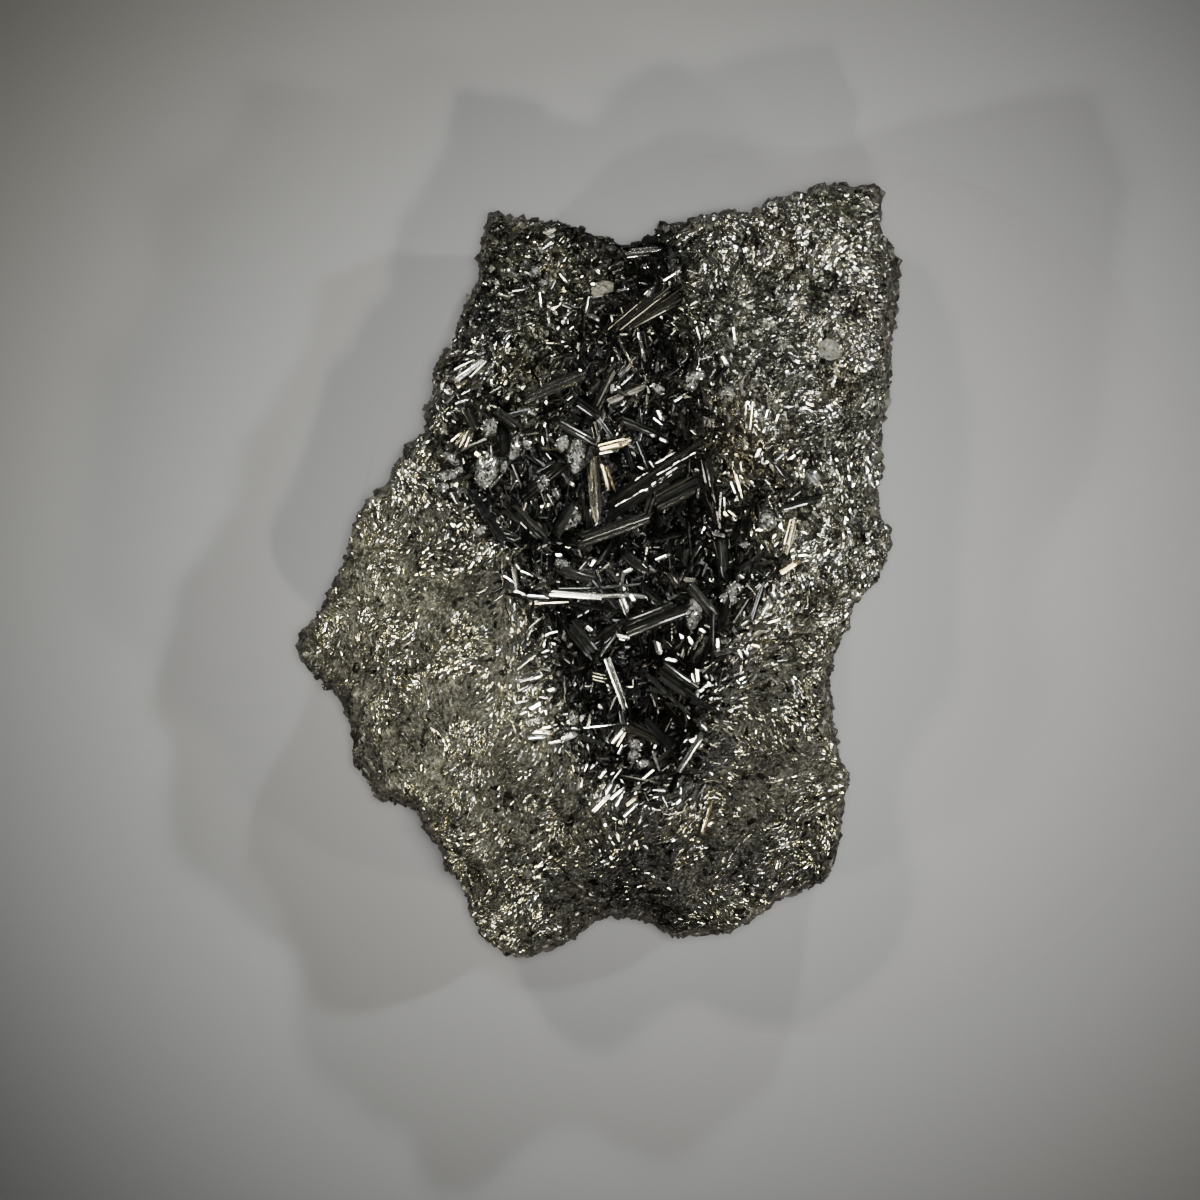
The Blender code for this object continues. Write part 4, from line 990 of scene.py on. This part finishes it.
def turned(points, normals, draw, spread, lean, roll, lit):
    """Axes for things on a surface: along the swirl, across, and up. A share lit of them mirrors a lamp."""
    count = len(points)
    lamps = np.array(FLASHES)[draw.choice(len(FLASHES), size=count, p=FLASH_SHARES)]
    looks = (draw.random(count) < lit)[:, None]
    base = np.where(looks, unit(ROOTED * normals + lamps), normals)
    way = swirl(points) + np.tan(np.radians(spread)) * draw.normal(size=points.shape)
    along = unit(way - base * (way * base).sum(axis=1)[:, None])
    loose = np.where(looks[:, 0], STEADY, 1.0)
    tilt = loose * lean * (SHARED * noise_at(points, 1.6, 31.0) + ALONE * draw.normal(size=count))
    turn = loose * roll * (SHARED * noise_at(points, 1.3, 41.0) + ALONE * draw.normal(size=count))
    tilt, turn = np.radians(tilt)[:, None], np.radians(turn)[:, None]
    out = along * np.cos(tilt) + base * np.sin(tilt)
    up = base * np.cos(tilt) - along * np.sin(tilt)
    across = np.cross(up, out)
    return out, across * np.cos(turn) - up * np.sin(turn), up * np.cos(turn) + across * np.sin(turn)


samples = np.array([[-20.0, -10.0, 23.0], [-19.0, -10.0, 23.0], [20.0, 15.0, 22.0]])
print("the fibres run:", swirl(samples).round(2).tolist())


# %% Joining many copies
JITTER = 0.1  # how far each corner of a copy strays, as a share of the copy's size
FAR = 50  # each copy starts somewhere within this length of the pattern that runs along it


def copies(name, shape, places, axes, sizes, tints, draw):
    """One mesh, in metres, of many copies of a shape. Sizes are the length, width and thickness in mm."""
    corners, triangles = shape
    count = len(places)
    local = (corners + draw.uniform(-JITTER, JITTER, (count, len(corners), 3))) * sizes[:, None, :]
    points = places[:, None, :] + sum(local[:, :, i, None] * axes[i][:, None, :] for i in range(3))
    points = points.reshape(-1, 3)
    points[:, 2] = np.maximum(points[:, 2], 0.0)
    faces = (triangles[None] + len(corners) * np.arange(count)[:, None, None]).reshape(-1, 3)
    mesh = bpy.data.meshes.new(name)
    mesh.from_pydata(points * MM, [], faces)
    add_tint(mesh, np.repeat(tints, len(corners), axis=0))
    run = np.stack([local[:, :, 1] + local[:, :, 2], local[:, :, 0]], axis=2)
    run += draw.uniform(0, FAR, (count, 1, 1))
    striae = mesh.uv_layers.new(name="striae")
    striae.data.foreach_set("uv", run.reshape(-1, 2)[faces.ravel()].astype(np.float32).ravel())
    return mesh


class Layer(NamedTuple):
    """A scatter of one shape over one ground. Lengths are in mm and angles in degrees."""

    name: str
    finish: bpy.types.Material
    ground: Ground
    weight: np.ndarray
    count: int
    shape: tuple
    colours: Callable
    length: float
    slimness: float  # the width as a share of the length
    flatness: float = 0.6  # the thickness as a share of the width
    spread: float = 20  # how far its run strays from its neighbours'
    lean: float = 15
    roll: float = 15
    lit: float = 0  # the share whose face mirrors a lamp
    out: float = 0  # how far it stands out of the ground, as a share of its length
    clear: float = 0.1  # the room it leaves beside a large blade


LENGTHS_VARY = 0.35  # most lengths are within this share of the layer's own
WIDTHS = 0.7, 1.3  # a grain is wider or narrower than its layer by a factor between these


def scatter(number, layer, slot, *nodes):
    """Makes one layer as one piece, from random numbers of its own."""
    draw = np.random.default_rng(SEED + number)
    places, normals = places_on(layer.ground, layer.count, layer.weight, draw)
    long = layer.length * np.exp(LENGTHS_VARY * np.clip(draw.normal(size=layer.count), -2, 2))
    wide = long * layer.slimness * draw.uniform(*WIDTHS, layer.count)
    sizes = np.stack([long, wide, wide * layer.flatness], axis=1)
    places = places + layer.out * sizes[:, :1] * normals
    kept = ~in_the_way(places, layer.clear)
    places, normals, sizes = places[kept], normals[kept], sizes[kept]
    axes = turned(places, normals, draw, layer.spread, layer.lean, layer.roll, layer.lit)
    tints = layer.colours(places, normals, draw)
    mesh = copies(layer.name, layer.shape, places, axes, sizes, tints, draw)
    return piece(layer.name, mesh, layer.finish, slot, *nodes)

# %% [markdown]
# ## Layers of grains
# The felt is built up in layers, as a painter would lay them: fine grains over the lower left, coarse ones
# over the upper right, dark ones over the broken sides and the back, and a druse of small crystals that
# carries the felt over the rim into the hollow.


# %% Felt, druse and broken sides
COARSE_START, COARSE_SLOPE, COARSE_RUN = 8, 0.55, 4  # the line that parts coarse from fine, and its softness


def coarse_share(points):
    """1 in the coarse upper right and top left, 0 in the fine lower left, over the plan."""
    past = COARSE_SLOPE * points[:, 0] + points[:, 1] - COARSE_START
    return 1 / (1 + np.exp(-past / COARSE_RUN))


# The black of the crystals deep in the hollow, which is also painted shade there.
CRYSTAL_BLACK_AND_SHADE = np.array((0.013, 0.013, 0.012))
STRAW = np.array((1.0, 0.96, 0.76))
LIGHTEST = 0.95  # no grain is lighter than this


def ground_tint(points, up):
    """The colour of the ore, which turns black deep in the hollow: the crystals' own black and painted shade.
    """
    dark = darkness(points)[:, None]
    return ore_tint(points, up) * (1 - dark) + CRYSTAL_BLACK_AND_SHADE * dark


def of_the_ore(light, vary):
    """Colours like the ground's own, with each grain's own lightness."""

    def colours(places, normals, draw):
        own = light * np.exp(draw.normal(0, vary, (len(places), 1)))
        return np.clip(own * ground_tint(places, normals[:, 2]), 0, LIGHTEST)

    return colours


def of_crystal(low, high, straw=1.3):
    """Greys between two, most of them near the low one, and some of them straw."""

    def colours(places, normals, draw):
        grey = low + (high - low) * draw.random((len(places), 1)) ** 2
        return grey * (1 + straw * (STRAW - 1) * draw.random((len(places), 1)))

    return colours


# Patches with few glints, as (x, y, radius, share that they lose). With a share below 0 they gain glints.
QUIET = [
    (4, -34, 15, 0.95), (18, -16, 10, 0.8), (-12, 28, 10, 0.85), (23.5, 18.5, 2.4, 0.8), (19, 32, 2.2, 0.9),
    (-17, -12, 4.0, 0.7), (-21, -17, 3.5, 0.6), (-13, -22, 4.0, 0.5), (-24, 2, 3.0, 0.5), (-9, 31, 5, 0.6),
    (26.3, 10.5, 2.4, -2), (-12.8, 2, 3.2, 0.7), (23.5, 3, 4.5, 0.5), (21.5, -3, 3.0, 0.35),
    (20, 35, 3.5, 0.6), (28.6, 28, 1.8, 0.8), (28.6, 24, 1.8, 0.8), (20, 19.5, 3.5, -1), (19.6, 9.5, 3, -0.5),
    (23.5, 9.5, 2.5, -0.8), (-17, 2, 5.5, 0.7), (-21, 0, 2.5, 0.4), (-10.3, -12.5, 4.5, 0.6),
    (9.7, -21, 3, 0.4), (5, -25.5, 5, 0.5), (19.6, -25.5, 3.5, 0.75), (-2, -31, 5, 0.7),
    (14.7, -31, 3.5, 0.8),
]
# Cavities between the blades that stay nearly empty, so that the bed shows black there, partly as painted
# shade, as (x, y, radius).
CAVITIES = [
    (7.6, 22.2, 1.9), (-8.0, 6.2, 2.1), (5.5, 3.7, 1.5), (-0.3, -5.9, 1.5), (4.4, -9.4, 1.4),
    (-2.0, -10.6, 1.3), (8.2, -16.4, 1.4), (-9.5, 3.4, 1.2), (-7.0, 10.4, 1.2), (7.3, 11.4, 1.0),
]
EMPTINESS = 0.92  # the share of its crystals that the middle of a cavity lacks

# How thickly things grow on each triangle of the face, and of the lining.
coarse = coarse_share(face.centre)
fine = 1.04 - coarse
sheaves = (0.02 + glitter(face.centre) ** 1.8) * (1 - 0.7 * darkness(face.centre))
for x, y, radius, share in QUIET:
    sheaves *= 1 - share * near(face.centre, x, y, radius)
lined = darkness(lining.centre)
slope = (1.03 - lined) ** 3
open_air = np.ones(len(lining.centre))
for x, y, radius in CAVITIES:
    open_air *= 1 - EMPTINESS * near(lining.centre, x, y, radius)

felt_glints = of_crystal(0.4, 1.0, 2.5)
GRAINS = [
    Layer("fine_grains_1", ore, face, fine, 14000, RIDGE, of_the_ore(0.66, 0.22),
          length=0.4, slimness=0.32, flatness=0.5, spread=14, lean=7, roll=9),
    Layer("fine_grains_2", ore, face, fine, 8000, RIDGE, of_the_ore(0.74, 0.25),
          length=0.36, slimness=0.5, flatness=0.5, spread=20, lean=9, roll=10),
    Layer("coarse_grains_1", bright_ore, face, 0.06 + coarse, 9000, RIDGE, of_the_ore(0.42, 0.8),
          length=0.8, slimness=0.32, flatness=0.8, spread=20, lean=18, roll=22),
    Layer("coarse_grains_2", bright_ore, face, 0.06 + coarse, 6500, SLAB, of_the_ore(0.42, 0.8),
          length=0.65, slimness=0.5, spread=26, lean=20, roll=24),
    Layer("fine_glints", glint, face, sheaves * fine, 14500, FLAKE, felt_glints,
          length=0.37, slimness=0.17, flatness=1, spread=10, lean=14, roll=16, lit=0.66, out=0.25),
    Layer("coarse_glints", glint, face, sheaves * coarse, 14900, FLAKE, of_crystal(0.3, 1.0),
          length=0.48, slimness=0.28, flatness=1, spread=16, lean=20, roll=22, lit=0.55, out=0.25),
    Layer("slope_grains", ore, lining, slope, 5000, RIDGE, of_the_ore(1.1, 0.35),
          length=0.5, slimness=0.4, spread=16, lean=12, roll=14),
    Layer("slope_glints", glint, lining, slope * glitter(lining.centre), 900, FLAKE, felt_glints,
          length=0.45, slimness=0.2, flatness=1, spread=10, lean=14, roll=16, lit=0.6, out=0.25),
    Layer("druse", glint, lining, (1.1 - lined) * open_air, 5500, SLAB, of_the_ore(1.4, 0.6),
          length=0.62, slimness=0.6, flatness=0.7, spread=35, lean=24, roll=28, lit=0.15),
    Layer("side_grains", ore, sides, 1.0, 11000, SLAB, of_the_ore(1.0, 0.4),
          length=0.8, slimness=0.6, spread=40, lean=22, roll=28),
    Layer("side_glints", glint, sides, 1.0, 1500, SLAB, of_the_ore(3.0, 0.4),
          length=0.5, slimness=0.5, spread=40, lean=22, roll=28),
    Layer("back_grains", ore, back, 1.0, 4500, SLAB, of_the_ore(1.0, 0.4),
          length=0.95, slimness=0.65, flatness=0.5, spread=40, lean=12, roll=18),
]

# Painted shade: the skin between the grains is darkened to this share of the ore's colour.
SHADE_BETWEEN_GRAINS = 0.32  # the skin shows only between grains, where little light gets
stone_points, stone_normals = points_and_normals(stone_skin)
add_tint(stone_skin, SHADE_BETWEEN_GRAINS * ground_tint(stone_points, stone_normals[:, 2]))
stone_skin.transform(Matrix.Scale(MM, 4))
piece("stone_skin", stone_skin, ore, "granular_manganite", "matrix")

for number, layer in enumerate(GRAINS):
    scatter(number, layer, "granular_manganite")

# %% [markdown]
# ## The finish of the crystals
# Manganite grows as prisms with fine grooves along their length. The blades carry a UV map that runs in
# millimetres, across and along, so a noise squeezed across and drawn out along it makes the grooves whichever
# way a blade points.


# %% Striated crystal
GROOVE_DEPTH = 0.02  # in mm


def crystal_finish(name, roughness, metallic):
    """A dark metallic crystal with grooves along its length."""
    finish = Finish(name, (0.06, 0.06, 0.06), roughness, metallic)
    run = finish.node("ShaderNodeUVMap", {"uv_map": "striae"})
    drawn = finish.mixed("MULTIPLY", run, (6.0, 0.1, 1.0))
    grooves = finish.noise(drawn, 1.0, 1.5)
    clouds = finish.noise(run, 1.6, 2.0)
    # Painted shade: the colour is darker in the grooves, where the bump is low.
    finish.set(Base_Color=finish.shaded(finish.tint(), 0.35 + 0.6 * grooves + 0.7 * clouds))
    finish.set(Roughness=roughness + 0.2 * (clouds - 0.5))
    bump = {"Strength": 0.7, "Distance": GROOVE_DEPTH * MM, "Height": grooves}
    finish.set(Normal=finish.node("ShaderNodeBump", None, bump))
    return finish.material


dark_crystal = crystal_finish("dark_crystal", 0.2, 0.85)
bright_crystal = crystal_finish("bright_crystal", 0.16, 0.9)
print("finishes:", dark_crystal.name, bright_crystal.name)

# %% [markdown]
# ## The small blades
# Thousands of laths stand between the large blades. They are scattered as the grains are, but each is a
# prism of six or ten sides with slanting ends, and it stands out of the crust by a part of its length. Near
# the rim they are shorter and paler, and lie over the edge of the felt.

# %% Small blades
BAND_REACH, BAND_WIDTH = -0.3, 2.2  # the rim's scales lie in a soft band just outside it
SHORT_END, LONG_END = 30, 28  # the short laths end here along the slab, and the long ones a little earlier
FIRST_LATH = 20  # the laths draw other random numbers than the grains

band = np.exp(-(((rim.reach - BAND_REACH) / BAND_WIDTH) ** 2))
along_slab = lining.centre[:, 1]
bunches = 0.12 + glitter(lining.centre + 40)
clusters = bunches * (0.25 + 0.75 * lined) * (along_slab < SHORT_END) * open_air
deep = lined**2 * (along_slab < LONG_END) * open_air
LATHS = [
    Layer("medium_laths", dark_crystal, lining, deep, 150, BROAD, of_crystal(0.02, 0.08), length=3.2,
          slimness=0.2, flatness=0.35, spread=26, lean=14, roll=30, lit=0.03, out=0.12, clear=0.45),
    Layer("dark_laths", dark_crystal, lining, deep, 1300, LATH, of_crystal(0.012, 0.09), length=2.0,
          slimness=0.22, flatness=0.4, spread=30, lean=20, roll=40, lit=0.08, out=0.2, clear=0.4),
    Layer("fine_laths", dark_crystal, lining, clusters, 2600, LATH, of_crystal(0.01, 0.22), length=1.1,
          slimness=0.22, flatness=0.5, spread=36, lean=26, roll=40, lit=0.2, out=0.25, clear=0.3),
    Layer("bright_laths", bright_crystal, lining, clusters, 650, LATH, of_crystal(0.5, 0.95), length=0.55,
          slimness=0.36, flatness=0.4, spread=36, lean=20, roll=30, lit=0.8, out=0.6, clear=0.3),
    Layer("rim_scales", bright_crystal, rim, band, 1500, LATH, of_crystal(0.08, 0.8), length=1.0,
          slimness=0.26, flatness=0.5, spread=16, lean=14, roll=20, lit=0.5, out=0.05, clear=0.25),
]
for number, layer in enumerate(LATHS, FIRST_LATH):
    scatter(number, layer, "manganite_crystal", "vug_crystals")

# %% [markdown]
# ## Modelling a large blade
# A circle of points, pushed in and out at random, is extruded along the blade. Its sides become flat strips
# that catch the light one by one, which is how deep striation looks.

# %% Large blades
STRIPS, STEPS = 14, 4
GROOVE = 0.022  # how far a strip stands out or in, as a share of the blade's width
STRAY = 0.05  # how far a blade's face strays from the way it should look
SLANT = 1.1  # the steepest slant of its ends
POINT, END_THICKNESS = (0.35, 0.95), 0.7  # the width and the thickness of its tip, as shares
BULGE = 0.94, 1.04  # each step of the blade is wider or narrower by a factor between these


def add_lath(bm, root, tip, width, thickness, tint, looks, draw):
    """A striated blade from root to tip, in mm, whose broad face looks one way."""
    axis = tip - root
    along = axis.normalized()
    looks = looks + STRAY * Vector((draw.uniform(-1, 1), draw.uniform(-1, 1), 0))
    up = (looks - along * looks.dot(along)).normalized()
    stand = Matrix((up.cross(along), up, along)).transposed().to_4x4()
    first = len(bm.verts)
    ring = bmesh.ops.create_circle(bm, cap_ends=True, segments=STRIPS, radius=1.0)["verts"]
    for vert in ring:
        vert.co.x = width / 2 * math.copysign(abs(vert.co.x) ** 0.7, vert.co.x)
        vert.co.y = thickness / 2 * math.copysign(abs(vert.co.y) ** 0.35, vert.co.y)
        vert.co.y += GROOVE * width * draw.uniform(-1, 1)
    slants = draw.uniform(-SLANT, SLANT), draw.uniform(-SLANT, SLANT)
    point = draw.uniform(*POINT)
    end = ring[0].link_faces[0]
    for step in range(1, STEPS + 1):
        new = bmesh.ops.extrude_face_region(bm, geom=[end])
        end = next(part for part in new["geom"] if isinstance(part, bmesh.types.BMFace))
        for vert in end.verts:
            vert.co.z = axis.length * step / STEPS
            vert.co.x *= draw.uniform(*BULGE)
    for vert in end.verts:
        vert.co.x *= point
        vert.co.y *= END_THICKNESS
    bm.verts.ensure_lookup_table()
    made = bm.verts[first:]
    for vert in made:
        share = vert.co.z / axis.length
        vert.co.z += vert.co.x * (slants[0] * (1 - share) + slants[1] * share)
    striae, colour = bm.loops.layers.uv["striae"], bm.verts.layers.float_color["tint"]
    start = draw.uniform(0, FAR)
    for side in {side for vert in made for side in vert.link_faces}:
        for loop in side.loops:
            loop[striae].uv = (loop.vert.co.x + loop.vert.co.y + start, loop.vert.co.z + start)
    for vert in made:
        vert[colour] = (*tint, 1.0)
    bmesh.ops.transform(bm, matrix=Matrix.Translation(root) @ stand, verts=made)


def blade_piece(name, chosen, finish):
    """The blades of the chosen tints, joined into one piece."""
    draw = random.Random(SEED)
    bm = bmesh.new()
    bm.loops.layers.uv.new("striae")
    bm.verts.layers.float_color.new("tint")
    for root, tip, width, thickness, tint, looks in BLADES:
        if chosen(tint):
            add_lath(bm, Vector(root), Vector(tip), width, thickness, tint, looks, draw)
    bmesh.ops.recalc_face_normals(bm, faces=bm.faces)
    return piece(name, mesh_of(bm, name, MM), finish, "manganite_crystal")


DULL = (DARK, SHADE, BRONZE, ASH)
blade_piece("large_dark_blades", lambda tint: tint in DULL, dark_crystal)
blade_piece("large_bright_blades", lambda tint: tint not in DULL, bright_crystal)

# %% [markdown]
# ## Nodules
# Between the blades sit a few rounded nodules, pitted all over. Each starts from an icosphere whose points
# noise pushes in and out. The nodules are a ground of their own, and small glittering scales grow on it.


# %% Nodules
LUMPS, LUMP_SIZE = 0.34, 0.3  # as shares of a nodule's radius
NODULE_LEAN = 0.5  # in radians
NODULE_LIFT = 1.1  # in mm
NODULE_TINT = (0.27, 0.272, 0.25)
NODULE_NUMBER = 30  # the scales draw other random numbers than the layers before them


def tinted(mesh, tint):
    """A mesh with one tint all over."""
    add_tint(mesh, np.tile(tint, (len(mesh.vertices), 1)))
    return mesh


def add_nodule(bm, place, half_sizes, turn):
    """A lumpy ellipsoid at a place in mm."""
    made = bmesh.ops.create_icosphere(bm, subdivisions=3, radius=1.0)["verts"]
    for vert in made:
        pits = noise.noise(vert.co / LUMP_SIZE + place)
        vert.co *= 1 + LUMPS * (0.3 - abs(pits)) + 0.5 * LUMPS * noise.noise(vert.co * 1.3 + place)
    bmesh.ops.scale(bm, vec=half_sizes, verts=made)
    stand = Matrix.Rotation(math.radians(turn), 4, "Z") @ Matrix.Rotation(NODULE_LEAN, 4, "X")
    bmesh.ops.transform(bm, matrix=Matrix.Translation(place) @ stand, verts=made)


nodules = bmesh.new()
for x, y, long_radius, short_radius, turn in NODULES:
    half_sizes = long_radius, short_radius, short_radius
    add_nodule(nodules, over_bed(x, y, NODULE_LIFT), half_sizes, turn)
nodule_mesh = tinted(mesh_of(nodules, "nodules", MM), NODULE_TINT)
nodule_ground = Ground(corners_of(nodule_mesh) / MM)
piece("nodules", nodule_mesh, ore, "manganite_crystal")
nodule_scales = Layer(
    "nodule_scales", glint, nodule_ground, 1.0, 3000, FLAKE, of_crystal(0.12, 1.0), length=0.2, slimness=0.6,
    flatness=1, spread=40, lean=24, roll=30, lit=0.3, out=0.1, clear=-2,
)
scatter(NODULE_NUMBER, nodule_scales, "manganite_crystal")

# %% [markdown]
# ## Pale grains
# Two pale, translucent grains of another mineral are set in the upper part. Each is an angular chip: the
# convex hull of an outline over the plan and a crooked ridge above it, just inside the box of its solid.


# %% Pale grains
pale = Finish("pale_mineral", (0.4, 0.39, 0.33), 0.35, 0.0)
cloud = pale.noise(pale.place(), 1 / (SPECK * MM), 4)
pale.set(Base_Color=pale.shaded(pale.tint(), 3.6 * cloud - 0.8), Roughness=0.1 + 0.5 * cloud)
pale.set(Transmission_Weight=0.12, IOR=1.55)

# A chip in shares of its half sizes: the levels of its edge and its foot, and the points of its ridge.
EDGE_LEVEL, FOOT_LEVEL, FOOT_SHARE = 0.1, -0.9, 0.8
RIDGE_POINTS = [(-0.35, -0.1, 0.75), (0.25, 0.2, 0.97), (0.45, -0.25, 0.85)]
INSIDE = 0.98
# Each chip by its solid: its tint and its outline.
CHIPS = {
    "pale_grain_right": (
        (0.3, 0.3, 0.25),
        [(-0.95, 0.7), (-0.2, 1), (0.3, 0.75), (1, 0.2), (1, -0.65), (0, -1), (-0.8, -0.65)],
    ),
    "pale_grain_top": (
        (0.3, 0.285, 0.22),
        [(-0.98, -0.2), (-0.5, 0.35), (0.2, 0.95), (0.85, 0.55), (0.8, -0.3), (-0.4, -0.9)],
    ),
}


def chip_mesh(name, middle, half, outline):
    """An angular chip round a middle in mm, from its half sizes and its outline."""
    bm = bmesh.new()
    corners = [bm.verts.new((x, y, EDGE_LEVEL)) for x, y in outline]
    corners += [bm.verts.new((FOOT_SHARE * x, FOOT_SHARE * y, FOOT_LEVEL)) for x, y in outline]
    corners += [bm.verts.new(point) for point in RIDGE_POINTS]
    hull = bmesh.ops.convex_hull(bm, input=corners)
    inner = [part for part in hull["geom_interior"] if part.is_valid]
    bmesh.ops.delete(bm, geom=inner, context="VERTS")
    bmesh.ops.scale(bm, vec=half * INSIDE, verts=bm.verts)
    bmesh.ops.translate(bm, vec=middle, verts=bm.verts)
    bmesh.ops.recalc_face_normals(bm, faces=bm.faces)
    return mesh_of(bm, name, MM)


for node, (tint, outline) in CHIPS.items():
    low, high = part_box(node)
    chip = chip_mesh(node, (high + low) / 2 / MM, (high - low) / 2 / MM, outline)
    piece(node + "_clear", tinted(chip, tint), pale.material, "pale_mineral", node)

# %% [markdown]
# ## The floor
# The stone lies on a plain pale floor, which is stage, not part of the object.

# %% Floor
FLOOR_SIZE = 1.5
plane = bmesh.new()
bmesh.ops.create_grid(plane, x_segments=1, y_segments=1, size=FLOOR_SIZE)
floor = bpy.data.objects.new("floor", mesh_of(plane, "floor"))
floor.data.materials.append(Finish("pale_floor", (0.42, 0.42, 0.42), 0.8, 0.0).material)
scene.collection.objects.link(floor)
print("floor:", floor.name)
